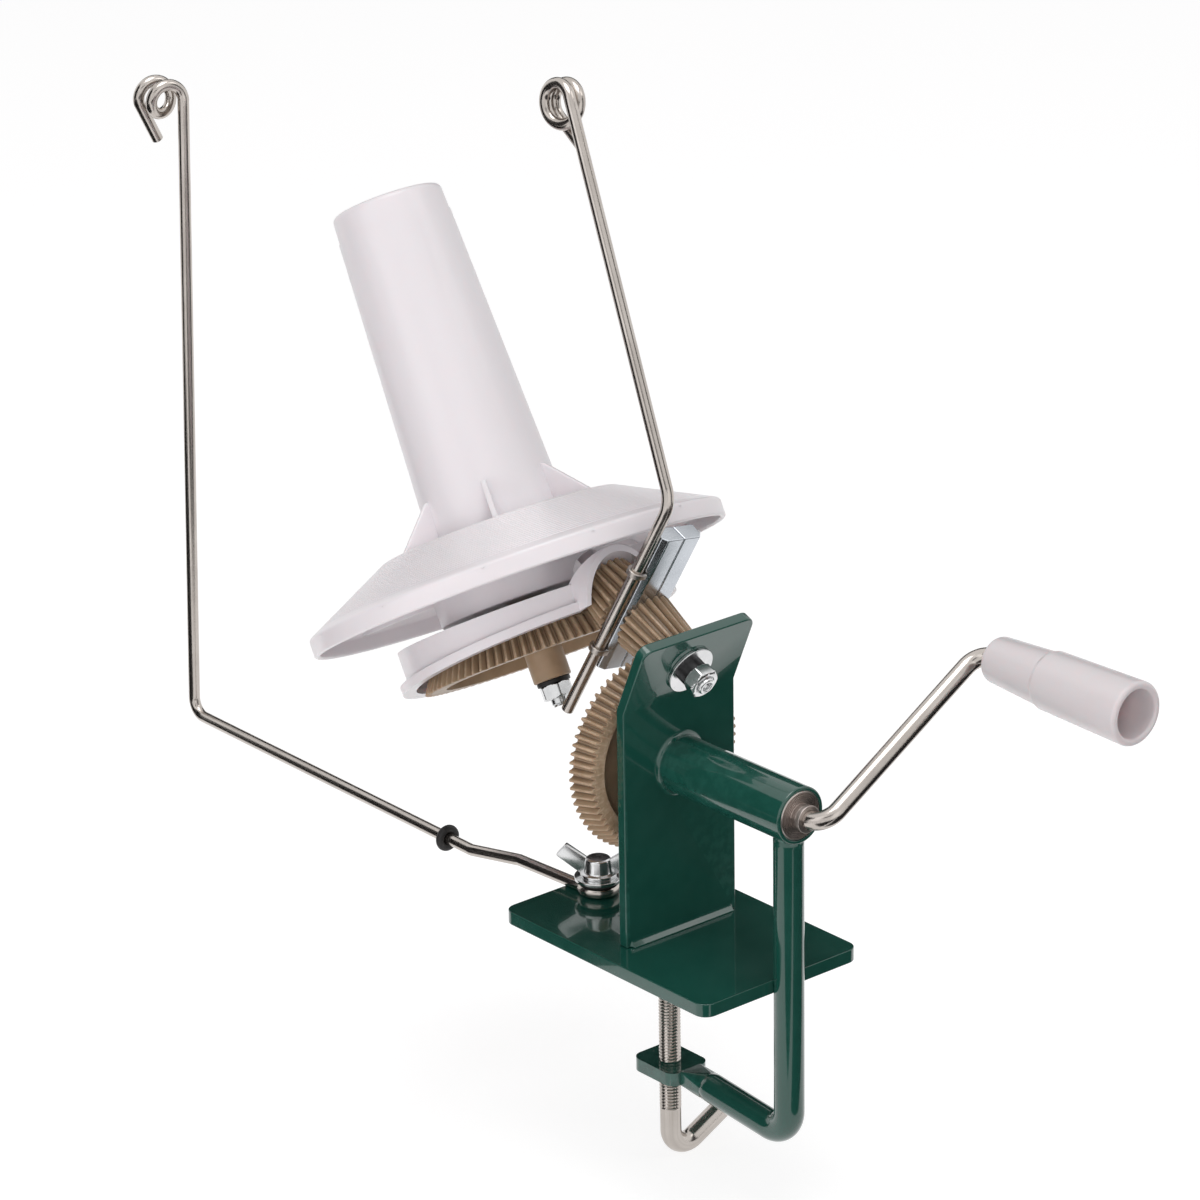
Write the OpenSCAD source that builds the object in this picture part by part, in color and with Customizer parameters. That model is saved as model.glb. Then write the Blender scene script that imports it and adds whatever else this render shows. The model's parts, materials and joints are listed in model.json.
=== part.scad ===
// Hand-cranked yarn cone winder that clamps to a table edge.
// Millimetres, +Z up, +X towards the crank handle. The origin is where the axis
// of the clamp screw meets the underside of the base plate.
// The crank turns a large bevel gear behind the upright. That gear drives a small
// bevel gear on a tilted axle, the flyer turns with it, and the flyer's second
// gear turns the ring gear under the cone.

/* [Base and upright] */
// Length of the base plate, back to front
base_length = 132; // [110:1:170]
// Width of the base plate
base_width = 88; // [76:1:120]
// Thickness of the base plate
base_thickness = 6; // [4:0.5:9]
// Corner radius of the base plate
base_corner = 6; // [2:0.5:12]
// From the clamp screw's axis to the front edge of the base plate
base_front = 73.3; // [66:0.1:84]
// From the clamp screw's axis to the front face of the upright
upright_front = 8.7; // [2:0.1:16]
// Thickness of the upright
upright_thickness = 5; // [4:0.1:6]
// Width of the upright
upright_width = 62; // [54:1:74]
// Height of the upright's bend above the table
bend_height = 113.5; // [108:0.5:120]
// Angle that the upright's top leans forward
lean = 23.6; // [21:0.1:26]
// Length of the leaning top
top_length = 35; // [31:0.5:44]
// Corner radius of the leaning top
top_corner = 5; // [2:0.5:12]
// Distance of the axle bolt above the bend
axle_rise = 16.2; // [15:0.1:18]

/* [Crank] */
// Height of the crank's axis above the table
crank_height = 83.4; // [80:0.1:86]
// Outer diameter of the crank tube
tube_outer = 25.4; // [23:0.1:28]
// Wall of the crank tube
tube_wall = 1.8; // [1.2:0.1:2.6]
// How far the crank tube reaches past the clamp rod's axis
tube_past_rod = 7.4; // [7:0.1:14]
// Diameter of the crank rod
crank_rod = 8; // [6:0.1:9]
// Radius of the crank
crank_radius = 103; // [85:1:115]
// Angle of the crank's arm above the horizontal, at rest
crank_rest_angle = 31.2; // [0:0.1:60]
// From the end of the crank tube to the plane that the crank's arm turns in
crank_offset = 14.2; // [13:0.1:20]
// Bend radius of the crank rod
crank_bend = 9; // [8:0.5:9]
// Length of the handle grip
grip_length = 82; // [70:1:95]
// Length of the grip's slim inner part
grip_slim_length = 31.5; // [26:0.5:36]
// Diameter of the grip at its inner end
grip_inner_end = 20; // [18:0.5:23]
// Diameter of the grip at its outer end
grip_outer_end = 28; // [25:0.5:32]
// Wall of the grip's hollow part
grip_wall = 3; // [2:0.1:4]

/* [Clamp] */
// Diameter of the clamp rod
rod_diameter = 13; // [11:0.1:14]
// How deep the clamp rod is let into the edge of the base plate
rod_bite = 2.8; // [1:0.1:4]
// Depth of the clamp rod's lower arm under the table face, at the bend
clamp_depth = 67.5; // [62:0.5:80]
// Angle that the lower arm rises towards its pad
clamp_rise = 5; // [3:0.1:6]
// Bend radius of the clamp rod
clamp_bend = 11; // [9:0.5:14]
// Thickness of the clamp pad
pad_thickness = 6; // [5:0.1:8]
// Length of the clamp pad
pad_length = 27; // [24:0.5:32]
// Width of the clamp pad
pad_width = 22; // [18:0.5:28]
// Thread diameter of the clamp screw
screw_diameter = 9.6; // [8:0.1:10]
// Thread pitch of the clamp screw
screw_pitch = 1.5; // [1:0.25:2]
// Depth of the clamp screw's foot under the table face, at rest
screw_gap = 12; // [11.5:0.5:20]
// Length of the threaded part of the clamp screw
screw_thread = 65; // [58:0.5:66]
// Depth of the clamp screw's bend under the table face, at rest
screw_depth = 108; // [102:0.5:116]
// Reach of the clamp screw's handle
screw_handle = 36; // [28:1:44]
// Angle that the clamp screw's handle rises
screw_handle_rise = 27; // [15:1:28]
// Diameter of the clamp foot
foot_diameter = 20; // [16:0.5:24]
// Thickness of the clamp foot
foot_thickness = 6; // [5:0.5:8]

/* [Drive gears] */
// Teeth of the drive gear
drive_teeth = 70; // [70:2:70]
// Teeth of each of the flyer's gears
pinion_teeth = 20; // [20:2:20]
// Teeth of the ring gear
ring_teeth = 79; // [79:2:79]
// Width of the drive gear's teeth along its axis
drive_face = 10.5; // [8:0.5:12]
// Gap between the upright and the drive gear
drive_gap = 5.2; // [4:0.1:7]
// Radius of the recess in the drive gear's face
drive_recess = 33; // [28:0.5:34]
// Thickness of the drive gear's web
drive_web = 3; // [2:0.5:4]

/* [Flyer] */
// Diameter of the axle bolt, the spindle bolt and their threads
bolt_diameter = 8; // [7:0.1:8.5]
// Outer diameter of the steel sleeve that the flyer turns on
sleeve_outer = 10.8; // [10.4:0.1:11.5]
// From the upright's front face to the near side of the flyer's bars
bar_start = 31.8; // [30:0.1:33]
// Depth of the flyer's bars along the axle
bar_depth = 8.7; // [7:0.1:9.5]
// Width of each of the two bars
bar_width = 11.7; // [9:0.1:13]
// Length of the bars above the axle, at rest
bar_above = 44.5; // [36:0.5:45]
// Length of the bars below the axle, at rest
bar_below = 25.5; // [20:0.5:32]
// Gap between the two bars
bar_gap = 0.4; // [0.2:0.1:1]
// Angle of the flyer's bars from the upright's centre plane, at rest
flyer_rest_angle = 11; // [0:1:40]
// Diameter of the wires
wire_diameter = 5.3; // [4:0.1:5.5]
// Length of the flyer wire below the axle
arm_below = 50.5; // [30:0.5:56]
// Distance of the flyer wire's bend from the axle
arm_bend_at = 61.5; // [58:0.5:66]
// Angle between the axle and the flyer wire past its bend
arm_spread = 37.7; // [37.5:0.1:42]
// Length of the flyer wire past its bend
arm_length = 176; // [140:0.5:190]
// Radius of the coil that ends the flyer wire
flyer_eye_radius = 8.7; // [7:0.1:10]

/* [Cone] */
// Angle that the cone leans from the vertical
cone_tilt = 30.9; // [30:0.1:31.5]
// From the upright's front face to the point where the axle and the cone's axis cross
cone_apex = 156.4; // [155:0.1:158]
// Turn of the cone's unit about the axle, as it is clamped
cover_turn = 2; // [-3:0.1:3]
// Height of the cone's top above the crossing point
cone_top = 111.8; // [100:0.1:135]
// Height of the cone's cap
cap_height = 12; // [8:0.5:18]
// Radius of the cone at its foot
cone_foot_radius = 31; // [28:0.5:34]
// Radius of the cone under its cap
cone_top_radius = 25.6; // [20:0.5:28]
// Wall of the cone, its cap and its neck
cone_wall = 2.2; // [1.6:0.1:3]
// Radius of the flange
flange_radius = 94.3; // [90:0.5:95]
// Radius of the flange's flat top
flange_flat_radius = 53.8; // [50:0.5:60]
// Depth of the flange's flat top below the crossing point
flange_flat_depth = 38.5; // [37:0.1:39.5]
// Depth of the flange's upper rim edge below the crossing point
flange_rim_depth = 58.9; // [58:0.1:60]
// Height of the flange's plain rim band
flange_skirt = 8.2; // [5:0.1:8.5]
// Thickness of the flange
flange_wall = 2.6; // [2:0.1:3.5]
// Number of grooves on the flange
groove_count = 16; // [6:1:20]
// Number of ribs under the flange
rib_count = 12; // [6:1:16]
// Number of fins at the foot of the cone
fin_count = 6; // [3:1:8]
// Height of the fins
fin_height = 18.5; // [14:0.5:26]
// Reach of the fins past the cone's foot
fin_reach = 18; // [10:0.5:20]
// Radius of the neck under the flange
neck_radius = 38.2; // [34:0.1:38.5]
// Gap between the neck's floor and the gear cover
neck_gap = 3.5; // [2.8:0.1:4.5]

/* [Gear cover] */
// Distance of the cover's outside beyond the ring gear's pitch circle
cover_margin = 6.6; // [5.6:0.1:8.6]
// Depth of the ring gear's lower rim below the cover's top
cover_drop = 21.6; // [21.1:0.1:22.1]
// Height of the cover's wall
cover_height = 18; // [15:0.1:18.5]
// Wall of the gear cover
cover_wall = 2.5; // [2:0.1:3]
// Reach of the lip at the foot of the cover
cover_lip = 3.6; // [2:0.1:5]
// Distance from the flyer gear's large end to the ring gear's, along their teeth
ring_set_back = 3.57; // [3:0.01:4.2]
// Width of the ring gear's teeth along its axis
ring_face = 9.5; // [8:0.1:10]
// Length of the boss under the ring gear
ring_boss = 18.5; // [14:0.5:24]

/* [Yarn guide] */
// Distance of the guide's pivot behind the clamp screw's axis
guide_pivot_back = 43.4; // [38:0.1:48]
// Distance of the guide's pivot to the front side of the centre plane
guide_pivot_side = 2.4; // [0:0.1:10]
// Distance from the pivot to the guide's upright
guide_reach = 282; // [270:1:300]
// Height of the guide's lower run above the table
guide_run_height = 6.4; // [6:0.1:8]
// Distance of the guide's eye above the table
guide_eye_height = 307; // [270:1:320]
// Radius of the coil that ends the guide wire
guide_eye_radius = 7.1; // [6:0.1:9]
// Outer diameter of the rubber ring on the guide
ring_outer = 12.2; // [10:0.1:12.4]

/* [Hidden] */
$fn = 72;
// Overrun of a cut past the face that it leaves
over = 1;
// Gap at the radius of a turning fit
running_gap = 0.05;
// Gap at the radius of a fixed fit
fixed_gap = 0.02;
// Gap between faces that turn past each other
face_gap = 0.3;

// Places that follow from the sizes
base_back = base_front - base_length;
rod_x = base_front + rod_diameter / 2 - rod_bite;
tube_end = rod_x + tube_past_rod;
tube_inner = tube_outer - 2 * tube_wall;
upright_back = upright_front - upright_thickness;
axle_x = upright_front + axle_rise * sin(lean);
axle_z = bend_height + axle_rise * cos(lean);
arm_plane = tube_end + crank_offset;

// Bevel gears: teeth counts and where the axes cross give the cone angles
pressure_angle = 20;
height_shares = [-1.2, 0, 0.9];
tooth_share = 0.94;
drive_apex = (axle_z - crank_height) / sin(lean);
drive_cone = atan(sin(lean) / (pinion_teeth / drive_teeth + cos(lean)));
lower_cone = lean - drive_cone;
drive_back = upright_back - drive_gap - drive_face;
drive_reach = axle_x + drive_apex * cos(lean) - drive_back;
axes_angle = 90 - lean - cone_tilt;
ring_cone = atan(sin(axes_angle) / (pinion_teeth / ring_teeth + cos(axes_angle)));
upper_cone = axes_angle - ring_cone;

// Front bush, rear bush and the collar on the crank rod
bush_length = 18;
nose_diameter = 11;
nose_length = 2.6;
rear_bush_length = 22;
rear_flange = 2.2;
rear_flange_diameter = 26;
collar_diameter = 12;
collar_length = 2.2;

// Drive gear's hub, nut and washer
drive_hub_diameter = 20;
nut_width = 13;
nut_height = 6.5;
washer_thickness = 1.6;
small_washer_diameter = 16;
rod_tail = 1;

// Handle grip
grip_gap = 9.8;
grip_slim_end = 24;
grip_step_diameter = 25.4;
grip_hollow_length = 54;
grip_round = 3;
retainer_diameter = 15;
retainer_thickness = 2.4;

// Clamp
thread_depth = 0.7;
neck_diameter = 6.6;
neck_length = 4;
screw_bend = 9;
pad_corner = 5;
pad_middle = 0.5;
shoulder_length = 12;

// Axle stack along the axle, from the upright's front face
big_washer_diameter = 22.7;
axle_washer_thickness = 1.6;
spring_washer_diameter = 12.5;
spring_washer_thickness = 1.7;
spring_washer_split = 1.2;
axle_nut_height = 6;
head_height = 5.5;
thrust_thickness = 1.5;
thrust_diameter = 17;
lower_gear_gap = 3;
lower_hub_diameter = 16;
pin_hub_diameter = 14;
upper_collar = 1.5;
upper_collar_diameter = 20;
upper_length = 17.3;
hood_gap = 1.2;
lower_start = upright_thickness + lower_gear_gap;
upper_start = bar_start + bar_depth + upper_collar;
upper_end = upper_start + upper_length;
hood_floor = upper_end + hood_gap;
hood_wall = 1.9;
hood_set_back = 0.5;
hood_overhang = 9.5;
hood_inner = 20;
hood_end_inner = 16;
boss_radius = 8;
boss_length = 6.5;
hood_start = upper_start + hood_set_back;
ring_depth = ((cone_apex - upper_start) / cos(upper_cone) - ring_set_back) * cos(ring_cone);
ring_pitch_radius = ring_depth * tan(ring_cone);
cover_depth = ring_depth - cover_drop;
cover_radius = ring_pitch_radius + cover_margin;
hood_reach = cover_radius + hood_overhang;
neck_depth = cover_depth - neck_gap;

// Flyer
bar_chamfer = 2.4;
clip_places = [24.8, -16.2];
clip_wall = 1.4;
clip_width = 2.6;
arm_gap = 0.15;
arm_side = bar_gap / 2 + bar_width + wire_diameter / 2 + arm_gap;
arm_depth_at = bar_start + bar_depth / 2;
wire_bend = 8;
arm_bend = 14;

// Eyes at the ends of the wires
eye_turn = 568;
eye_steps = 32;
flyer_eye_pitch = 5.6;
guide_eye_pitch = 9.7;
flyer_tail = 16;
guide_tail = 21;
bend_steps = 5;
wire_sides = 12;

// Cone and flange
hub_radius = 8.4;
bearing_wall = 5.5;
web_rise = 10.6;
web_gap = 1;
web_top = ring_depth - web_rise;
bearing_end = web_top - web_gap;
web_thickness = 3;
cup_margin = 8.4;
cup_radius = ring_pitch_radius - cup_margin;
ring_boss_radius = 8.5;
spindle_washer_thickness = 2;
spindle_washer_diameter = 15;
spindle_nut_height = 6.5;
spindle_tail = 2.2;
flange_inner_slope = (flange_rim_depth - flange_flat_depth) / (flange_radius - flange_flat_radius);
rib_thickness = 2;
rib_rise = 12.5;
rib_depth = neck_depth - rib_rise;
fin_thickness = 2.2;
fin_angle = -38;
spigot_height = 6;
groove_depth = 0.35;
groove_land = 0.8;
rim_round = 1.2;
cap_step = 0.6;
cap_round = 3;
cut_lean = 3.8;
lip_thickness = 2;

// Yarn guide and its wing bolt, as turns and places seen from the pivot
guide_lift = 0.1;
guide_slack = 0.6;
guide_level = base_thickness + wire_diameter / 2 + guide_lift;
guide_bore = bolt_diameter + guide_slack;
guide_ring_radius = (guide_bore + wire_diameter) / 2;
guide_start_angle = 44;
guide_first_run = 40;
guide_first_heading = 4;
guide_second_run = 27;
guide_second_heading = 12;
guide_third_heading = -0.8;
guide_lean = 1.8;
guide_ring_share = 0.062;
ring_section = 3.6;
wing_bolt_end = 0.5;
rubber_washer_radius = 9.4;
rubber_washer_thickness = 1.2;
wing_washer_radius = 10.7;
wing_washer_thickness = 1.6;
wing_hub_radius = 8;
wing_top_radius = 5.6;
wing_hub_height = 8.5;
wing_reach = 17;
wing_rise = 9;
wing_thickness = 3;
wing_width = 8;
wing_angle = 40;
wing_slope = 40;
wing_root_share = 0.8;
guide_washer_level = base_thickness + wire_diameter + 2 * guide_lift;
wing_washer_level = guide_washer_level + rubber_washer_thickness;
wing_level = wing_washer_level + wing_washer_thickness;

// Vector of length one along a direction
function unit(v) = v / norm(v);
// Part of an involute's angle at a pressure angle
function involute(angle) = tan(angle) * 180 / PI - angle;
// Half the angle that a bevel gear's tooth takes up at a height above the pitch line
function half_tooth(teeth, cone, pitch_radius, height) =
    let (virtual = pitch_radius / cos(cone),
         pressure = acos(min(1, virtual * cos(pressure_angle) / (virtual + height))))
    90 * tooth_share / teeth + (involute(pressure_angle) - involute(pressure)) / cos(cone);
// Outline of a bevel gear's large end, in the plane at this distance from the cone's apex
function gear_outline(teeth, cone, reach) =
    let (pitch_radius = reach * tan(cone), size = 2 * pitch_radius / teeth)
    [for (tooth = [0:teeth - 1], place = [0:5])
        let (side = place < 3 ? -1 : 1,
             height = height_shares[place < 3 ? place : 5 - place] * size,
             angle = 360 * tooth / teeth + side * half_tooth(teeth, cone, pitch_radius, height))
        reach * tan(cone + atan(height * cos(cone) / reach)) * [cos(angle), sin(angle)]];
// Points of an arc that rounds the corner b of the line a, b, c
function corner(a, b, c, radius, steps) =
    let (back = unit(a - b), on = unit(c - b), half = acos(back * on) / 2,
         inward = unit(back + on), along = unit(on - back), centre = b + inward * radius / sin(half))
    [for (i = [0:steps])
        let (turn = (90 - half) * (2 * i / steps - 1))
        centre + radius * (along * sin(turn) - inward * cos(turn))];
// A line of points with its inner corners rounded
function rounded(line, radius, steps) =
    [line[0],
     for (i = [1:len(line) - 2]) each corner(line[i - 1], line[i], line[i + 1], radius, steps),
     line[len(line) - 1]];
// A closed outline with each corner rounded by its own radius
function rounded_outline(line, radii, steps) =
    let (n = len(line))
    [for (i = [0:n - 1])
        each radii[i] == 0 ? [line[i]] :
            corner(line[(i + n - 1) % n], line[i], line[(i + 1) % n], radii[i], steps)];
// Coil and straight tail that end a wire
function eye_path(start, up, out, side, radius, pitch, tail) =
    let (coil = [for (i = [1:eye_steps])
            let (turn = eye_turn * i / eye_steps)
            start + radius * (out * (1 - cos(turn)) + up * sin(turn)) + side * pitch * turn / 360])
    concat(coil, [coil[eye_steps - 1] + tail * (out * sin(eye_turn) + up * cos(eye_turn))]);
// Directions across a wire, each turned from the one before as little as can be
function across(along, first, i = 0) =
    i == len(along) ? [] :
        let (here = unit(first - (first * along[i]) * along[i]))
        concat([here], across(along, here, i + 1));

// A wire of round section along a path
module wire(path, diameter, first, sides) {
    n = len(path);
    along = [for (i = [0:n - 1]) unit(path[min(i + 1, n - 1)] - path[max(i - 1, 0)])];
    a = across(along, first);
    points = [for (i = [0:n - 1], j = [0:sides - 1])
        let (turn = 360 * j / sides)
        path[i] + diameter / 2 * (a[i] * cos(turn) + cross(along[i], a[i]) * sin(turn))];
    skin = [for (i = [0:n - 2], j = [0:sides - 1], half = [0, 1])
        let (k = (j + 1) % sides, low = i * sides, high = low + sides)
        half == 0 ? [low + j, high + j, high + k] : [low + j, high + k, low + k]];
    first_end = [for (j = [0:sides - 1]) j];
    last_end = [for (j = [sides - 1:-1:0]) (n - 1) * sides + j];
    polyhedron(concat(points, [path[0], path[n - 1]]), concat(skin,
        [for (j = [0:sides - 1]) [first_end[j], first_end[(j + 1) % sides], n * sides]],
        [for (j = [0:sides - 1]) [last_end[j], last_end[(j + 1) % sides], n * sides + 1]]));
}

// Frames: the axle's, the cone's and the crank's, each with its axis along Z
module along_axle() { translate([axle_x, 0, axle_z]) rotate([0, lean - 90, 0]) children(); }
module along_cone() {
    along_axle() rotate([0, 0, cover_turn]) translate([0, 0, cone_apex]) rotate([0, axes_angle, 0])
        children();
}
module along_crank() { translate([0, 0, crank_height]) rotate([0, 90, 0]) children(); }
module along_handle() {
    along_crank() rotate([0, 0, 90 + crank_rest_angle]) translate([crank_radius, 0, arm_plane])
        children();
}
module along_flyer() { along_axle() rotate([0, 0, flyer_rest_angle]) children(); }
// The axle's frame as it is seen from the cone's
module axle_from_cone() {
    rotate([0, -axes_angle, 0]) translate([0, 0, -cone_apex]) children();
}

// A ring that stands on Z = 0
module ring(height, outer, inner) {
    difference() {
        cylinder(h = height, d = outer);
        translate([0, 0, -over]) cylinder(h = height + 2 * over, d = inner);
    }
}
// A hexagon with chamfered ends
module hexagon(height, width) {
    chamfer = width / 12;
    corner_radius = width / cos(30) / 2;
    intersection() {
        cylinder(h = height, r = corner_radius, $fn = 6);
        rotate_extrude() polygon([[0, 0], [corner_radius - chamfer, 0],
            [corner_radius, chamfer / 2], [corner_radius, height - chamfer / 2],
            [corner_radius - chamfer, height], [0, height]]);
    }
}
// A nut that stands on Z = 0
module nut(height, width, bore) {
    difference() {
        hexagon(height, width);
        translate([0, 0, -over]) cylinder(h = height + 2 * over, d = bore);
    }
}
// A plate in the XY plane with its corners rounded
module rounded_plate(length, width, thickness, radius) {
    linear_extrude(height = thickness) {
        translate([radius, 0]) square([length - 2 * radius, width]);
        translate([0, radius]) square([length, width - 2 * radius]);
        for (x = [radius, length - radius], y = [radius, width - radius])
            translate([x, y]) circle(r = radius);
    }
}
// The toothed body of a bevel gear, large end on Z = 0 and apex up
module bevel_teeth(teeth, cone, reach, face) {
    linear_extrude(height = face, scale = (reach - face) / reach)
        polygon(gear_outline(teeth, cone, reach));
}

module base_plate() {
    color("darkgreen") difference() {
        translate([base_back, -base_width / 2, 0])
            rounded_plate(base_length, base_width, base_thickness, base_corner);
        translate([rod_x, 0, -over])
            cylinder(h = base_thickness + 2 * over, d = rod_diameter + 2 * fixed_gap);
        translate([-guide_pivot_back, -guide_pivot_side, -over])
            cylinder(h = base_thickness + 2 * over, d = bolt_diameter + 2 * running_gap);
    }
}

// The upright with its leaning top, its weld beads and the holes for the bush and the axle
module upright_plate() {
    bead = upright_thickness / 2;
    crease = [upright_front, bend_height];
    top = crease + top_length * [sin(lean), cos(lean)];
    color("darkgreen") difference() {
        union() {
            rotate([90, 0, 0]) linear_extrude(height = upright_width, center = true)
                polygon(concat([[upright_back, base_thickness], [upright_front, base_thickness],
                    crease, top],
                    [top + upright_thickness * [-cos(lean), sin(lean)]],
                    [for (i = [bend_steps:-1:0]) let (turn = lean * i / bend_steps)
                        crease + upright_thickness * [-cos(turn), sin(turn)]]));
            for (face = [upright_front, upright_back])
                translate([face, 0, base_thickness]) rotate([90, 0, 0])
                    linear_extrude(height = upright_width - 2 * bead, center = true)
                        polygon([[-bead, 0], [bead, 0], [0, bead]]);
        }
        translate([upright_front, 0, bend_height]) rotate([0, lean, 0])
            for (side = [0, 1]) mirror([0, side, 0]) top_corner_cut();
        translate([upright_back - over, 0, crank_height]) rotate([0, 90, 0])
            cylinder(h = upright_thickness + 2 * over, d = tube_inner);
        along_axle() translate([0, 0, -over])
            cylinder(h = upright_thickness + 2 * over, d = bolt_diameter + 2 * running_gap);
    }
}
// What is cut away outside a rounded corner of the leaning top
module top_corner_cut() {
    translate([-upright_thickness - over, upright_width / 2 - top_corner, top_length - top_corner])
        difference() {
            cube([upright_thickness + 2 * over, top_corner + over, top_corner + over]);
            translate([-over, 0, 0]) rotate([0, 90, 0])
                cylinder(h = upright_thickness + 4 * over, r = top_corner);
        }
}

module crank_tube() {
    color("darkgreen") along_crank() translate([0, 0, upright_front])
        ring(tube_end - upright_front, tube_outer, tube_inner);
}

// Bush at the crank's end of the tube, with a nose that the collar runs on
module front_bush() {
    color("dimgray") along_crank() translate([0, 0, tube_end - bush_length]) difference() {
        union() {
            cylinder(h = bush_length, d = tube_inner - 2 * fixed_gap);
            cylinder(h = bush_length + nose_length, d = nose_diameter);
        }
        translate([0, 0, -over])
            cylinder(h = bush_length + nose_length + 2 * over, d = crank_rod + 2 * running_gap);
    }
}

// Bush at the gear's end of the tube, through the upright, with a flange behind it
module rear_bush() {
    color("dimgray") along_crank() translate([0, 0, upright_back]) difference() {
        union() {
            cylinder(h = rear_bush_length, d = tube_inner - 2 * fixed_gap);
            translate([0, 0, -rear_flange]) cylinder(h = rear_flange, d = rear_flange_diameter);
        }
        translate([0, 0, -rear_flange - over])
            cylinder(h = rear_bush_length + rear_flange + 2 * over, d = crank_rod + 2 * running_gap);
    }
}

// The clamp's rod, from the tube down past the table's edge and back under the table
module clamp_rod() {
    drop = clamp_depth + crank_height;
    reach = clamp_bend * tan(45 + clamp_rise / 2);
    pad_front = pad_middle + pad_length / 2;
    arm_end = pad_front + shoulder_length;
    pad_level = -clamp_depth + (rod_x - pad_front) * tan(clamp_rise) - pad_thickness / 2;
    color("darkgreen") difference() {
        union() {
            translate([rod_x, 0, reach - clamp_depth]) cylinder(h = drop - reach, d = rod_diameter);
            wire(rounded([[rod_x, 0, reach + over - clamp_depth], [rod_x, 0, -clamp_depth],
                [arm_end, 0, (rod_x - arm_end) * tan(clamp_rise) - clamp_depth]],
                clamp_bend, 2 * bend_steps), rod_diameter - 2 * fixed_gap, [0, 1, 0], 2 * wire_sides);
            hull() {
                translate([arm_end, 0, (rod_x - arm_end) * tan(clamp_rise) - clamp_depth])
                    rotate([0, clamp_rise - 90, 0]) translate([0, 0, -over])
                        cylinder(h = over, d = rod_diameter, $fn = 32);
                translate([pad_front - over, -pad_width / 2 + pad_corner, pad_level])
                    cube([over, pad_width - 2 * pad_corner, pad_thickness]);
            }
            translate([pad_middle - pad_length / 2, -pad_width / 2, pad_level])
                rounded_plate(pad_length, pad_width, pad_thickness, pad_corner);
        }
        along_crank() translate([0, 0, rod_x - rod_diameter])
            cylinder(h = 2 * rod_diameter, d = tube_outer + 2 * fixed_gap);
        translate([0, 0, pad_level - over])
            cylinder(h = pad_thickness + 2 * over, d = screw_diameter + 2 * running_gap);
    }
}

// The crank: shaft, arm and handle pin, one bent rod
module crank_rod_and_arm() {
    tail = -drive_back + washer_thickness + nut_height + rod_tail;
    pin = grip_gap + grip_length - grip_hollow_length + retainer_thickness - crank_bend;
    low = [0, 0, arm_plane];
    high = [crank_radius, 0, arm_plane];
    color("silver") along_crank() {
        translate([0, 0, -tail]) cylinder(h = tail + arm_plane - crank_bend, d = crank_rod);
        rotate([0, 0, 90 + crank_rest_angle]) {
            translate(high + [0, 0, crank_bend]) cylinder(h = pin, d = crank_rod);
            wire(rounded([low - [0, 0, crank_bend + over], low, high,
                high + [0, 0, crank_bend + over]], crank_bend, 2 * bend_steps),
                crank_rod - 2 * fixed_gap, [0, 1, 0], 2 * wire_sides);
        }
    }
}

module crank_collar() {
    color("silver") along_crank() translate([0, 0, tube_end + nose_length + face_gap])
        ring(collar_length, collar_diameter, crank_rod + 2 * fixed_gap);
}

// The large gear on the crank's shaft, dished towards the upright
module drive_gear() {
    hub_top = upright_back - rear_flange - face_gap - drive_back;
    color("tan") along_crank() translate([0, 0, drive_back]) difference() {
        union() {
            difference() {
                bevel_teeth(drive_teeth, drive_cone, drive_reach, drive_face);
                translate([0, 0, drive_web]) cylinder(h = drive_face, r = drive_recess);
            }
            cylinder(h = hub_top, d = drive_hub_diameter);
        }
        translate([0, 0, -over]) cylinder(h = hub_top + 2 * over, d = crank_rod + 2 * fixed_gap);
    }
}
module drive_gear_washer() {
    color("silver") along_crank() translate([0, 0, drive_back - washer_thickness])
        ring(washer_thickness, small_washer_diameter, crank_rod + 2 * fixed_gap);
}
module drive_gear_nut() {
    color("silver") along_crank() translate([0, 0, drive_back - washer_thickness - nut_height])
        nut(nut_height, nut_width, crank_rod + 2 * fixed_gap);
}

// The handle's grip: a slim inner part, a step and a fatter hollow outer part
module handle_grip() {
    step = grip_slim_length;
    floor_at = grip_length - grip_hollow_length;
    bore = crank_rod / 2 + running_gap;
    hollow = grip_outer_end / 2 - grip_wall;
    color("whitesmoke") along_handle() translate([0, 0, grip_gap]) rotate_extrude()
        polygon(rounded_outline([
            [bore, 0], [grip_inner_end / 2, 0], [grip_slim_end / 2, step],
            [grip_step_diameter / 2, step + grip_step_diameter / 2 - grip_slim_end / 2 + over],
            [grip_outer_end / 2, grip_length], [hollow, grip_length], [hollow, floor_at],
            [bore, floor_at]],
            [0, grip_round, 0, 0, grip_round / 2, grip_wall / 3, 0, 0], 6));
}
module grip_retainer() {
    color("silver") along_handle()
        translate([0, 0, grip_gap + grip_length - grip_hollow_length + face_gap])
            ring(retainer_thickness - face_gap, retainer_diameter, crank_rod + 2 * fixed_gap);
}

// The clamp screw: neck, grooved thread and a plain shank that bends into a handle
module clamp_screw() {
    top = -screw_gap - foot_thickness - face_gap;
    turns = floor(screw_thread / screw_pitch);
    root = screw_diameter / 2 - thread_depth;
    shank = [[0, 0, top - screw_thread + over], [0, 0, -screw_depth],
        [0, screw_handle, -screw_depth + screw_handle * tan(screw_handle_rise)]];
    color("silver") {
        translate([0, 0, top]) cylinder(h = neck_length, d = neck_diameter);
        translate([0, 0, top - screw_thread]) rotate_extrude() polygon(concat(
            [[0, 0], [root, 0]],
            [for (i = [0:turns - 1]) each [[screw_diameter / 2, (i + 0.5) * screw_thread / turns],
                [root, (i + 1) * screw_thread / turns]]],
            [[0, screw_thread]]));
        wire(rounded(shank, screw_bend, 2 * bend_steps), screw_diameter, [1, 0, 0], 2 * wire_sides);
    }
}
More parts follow.
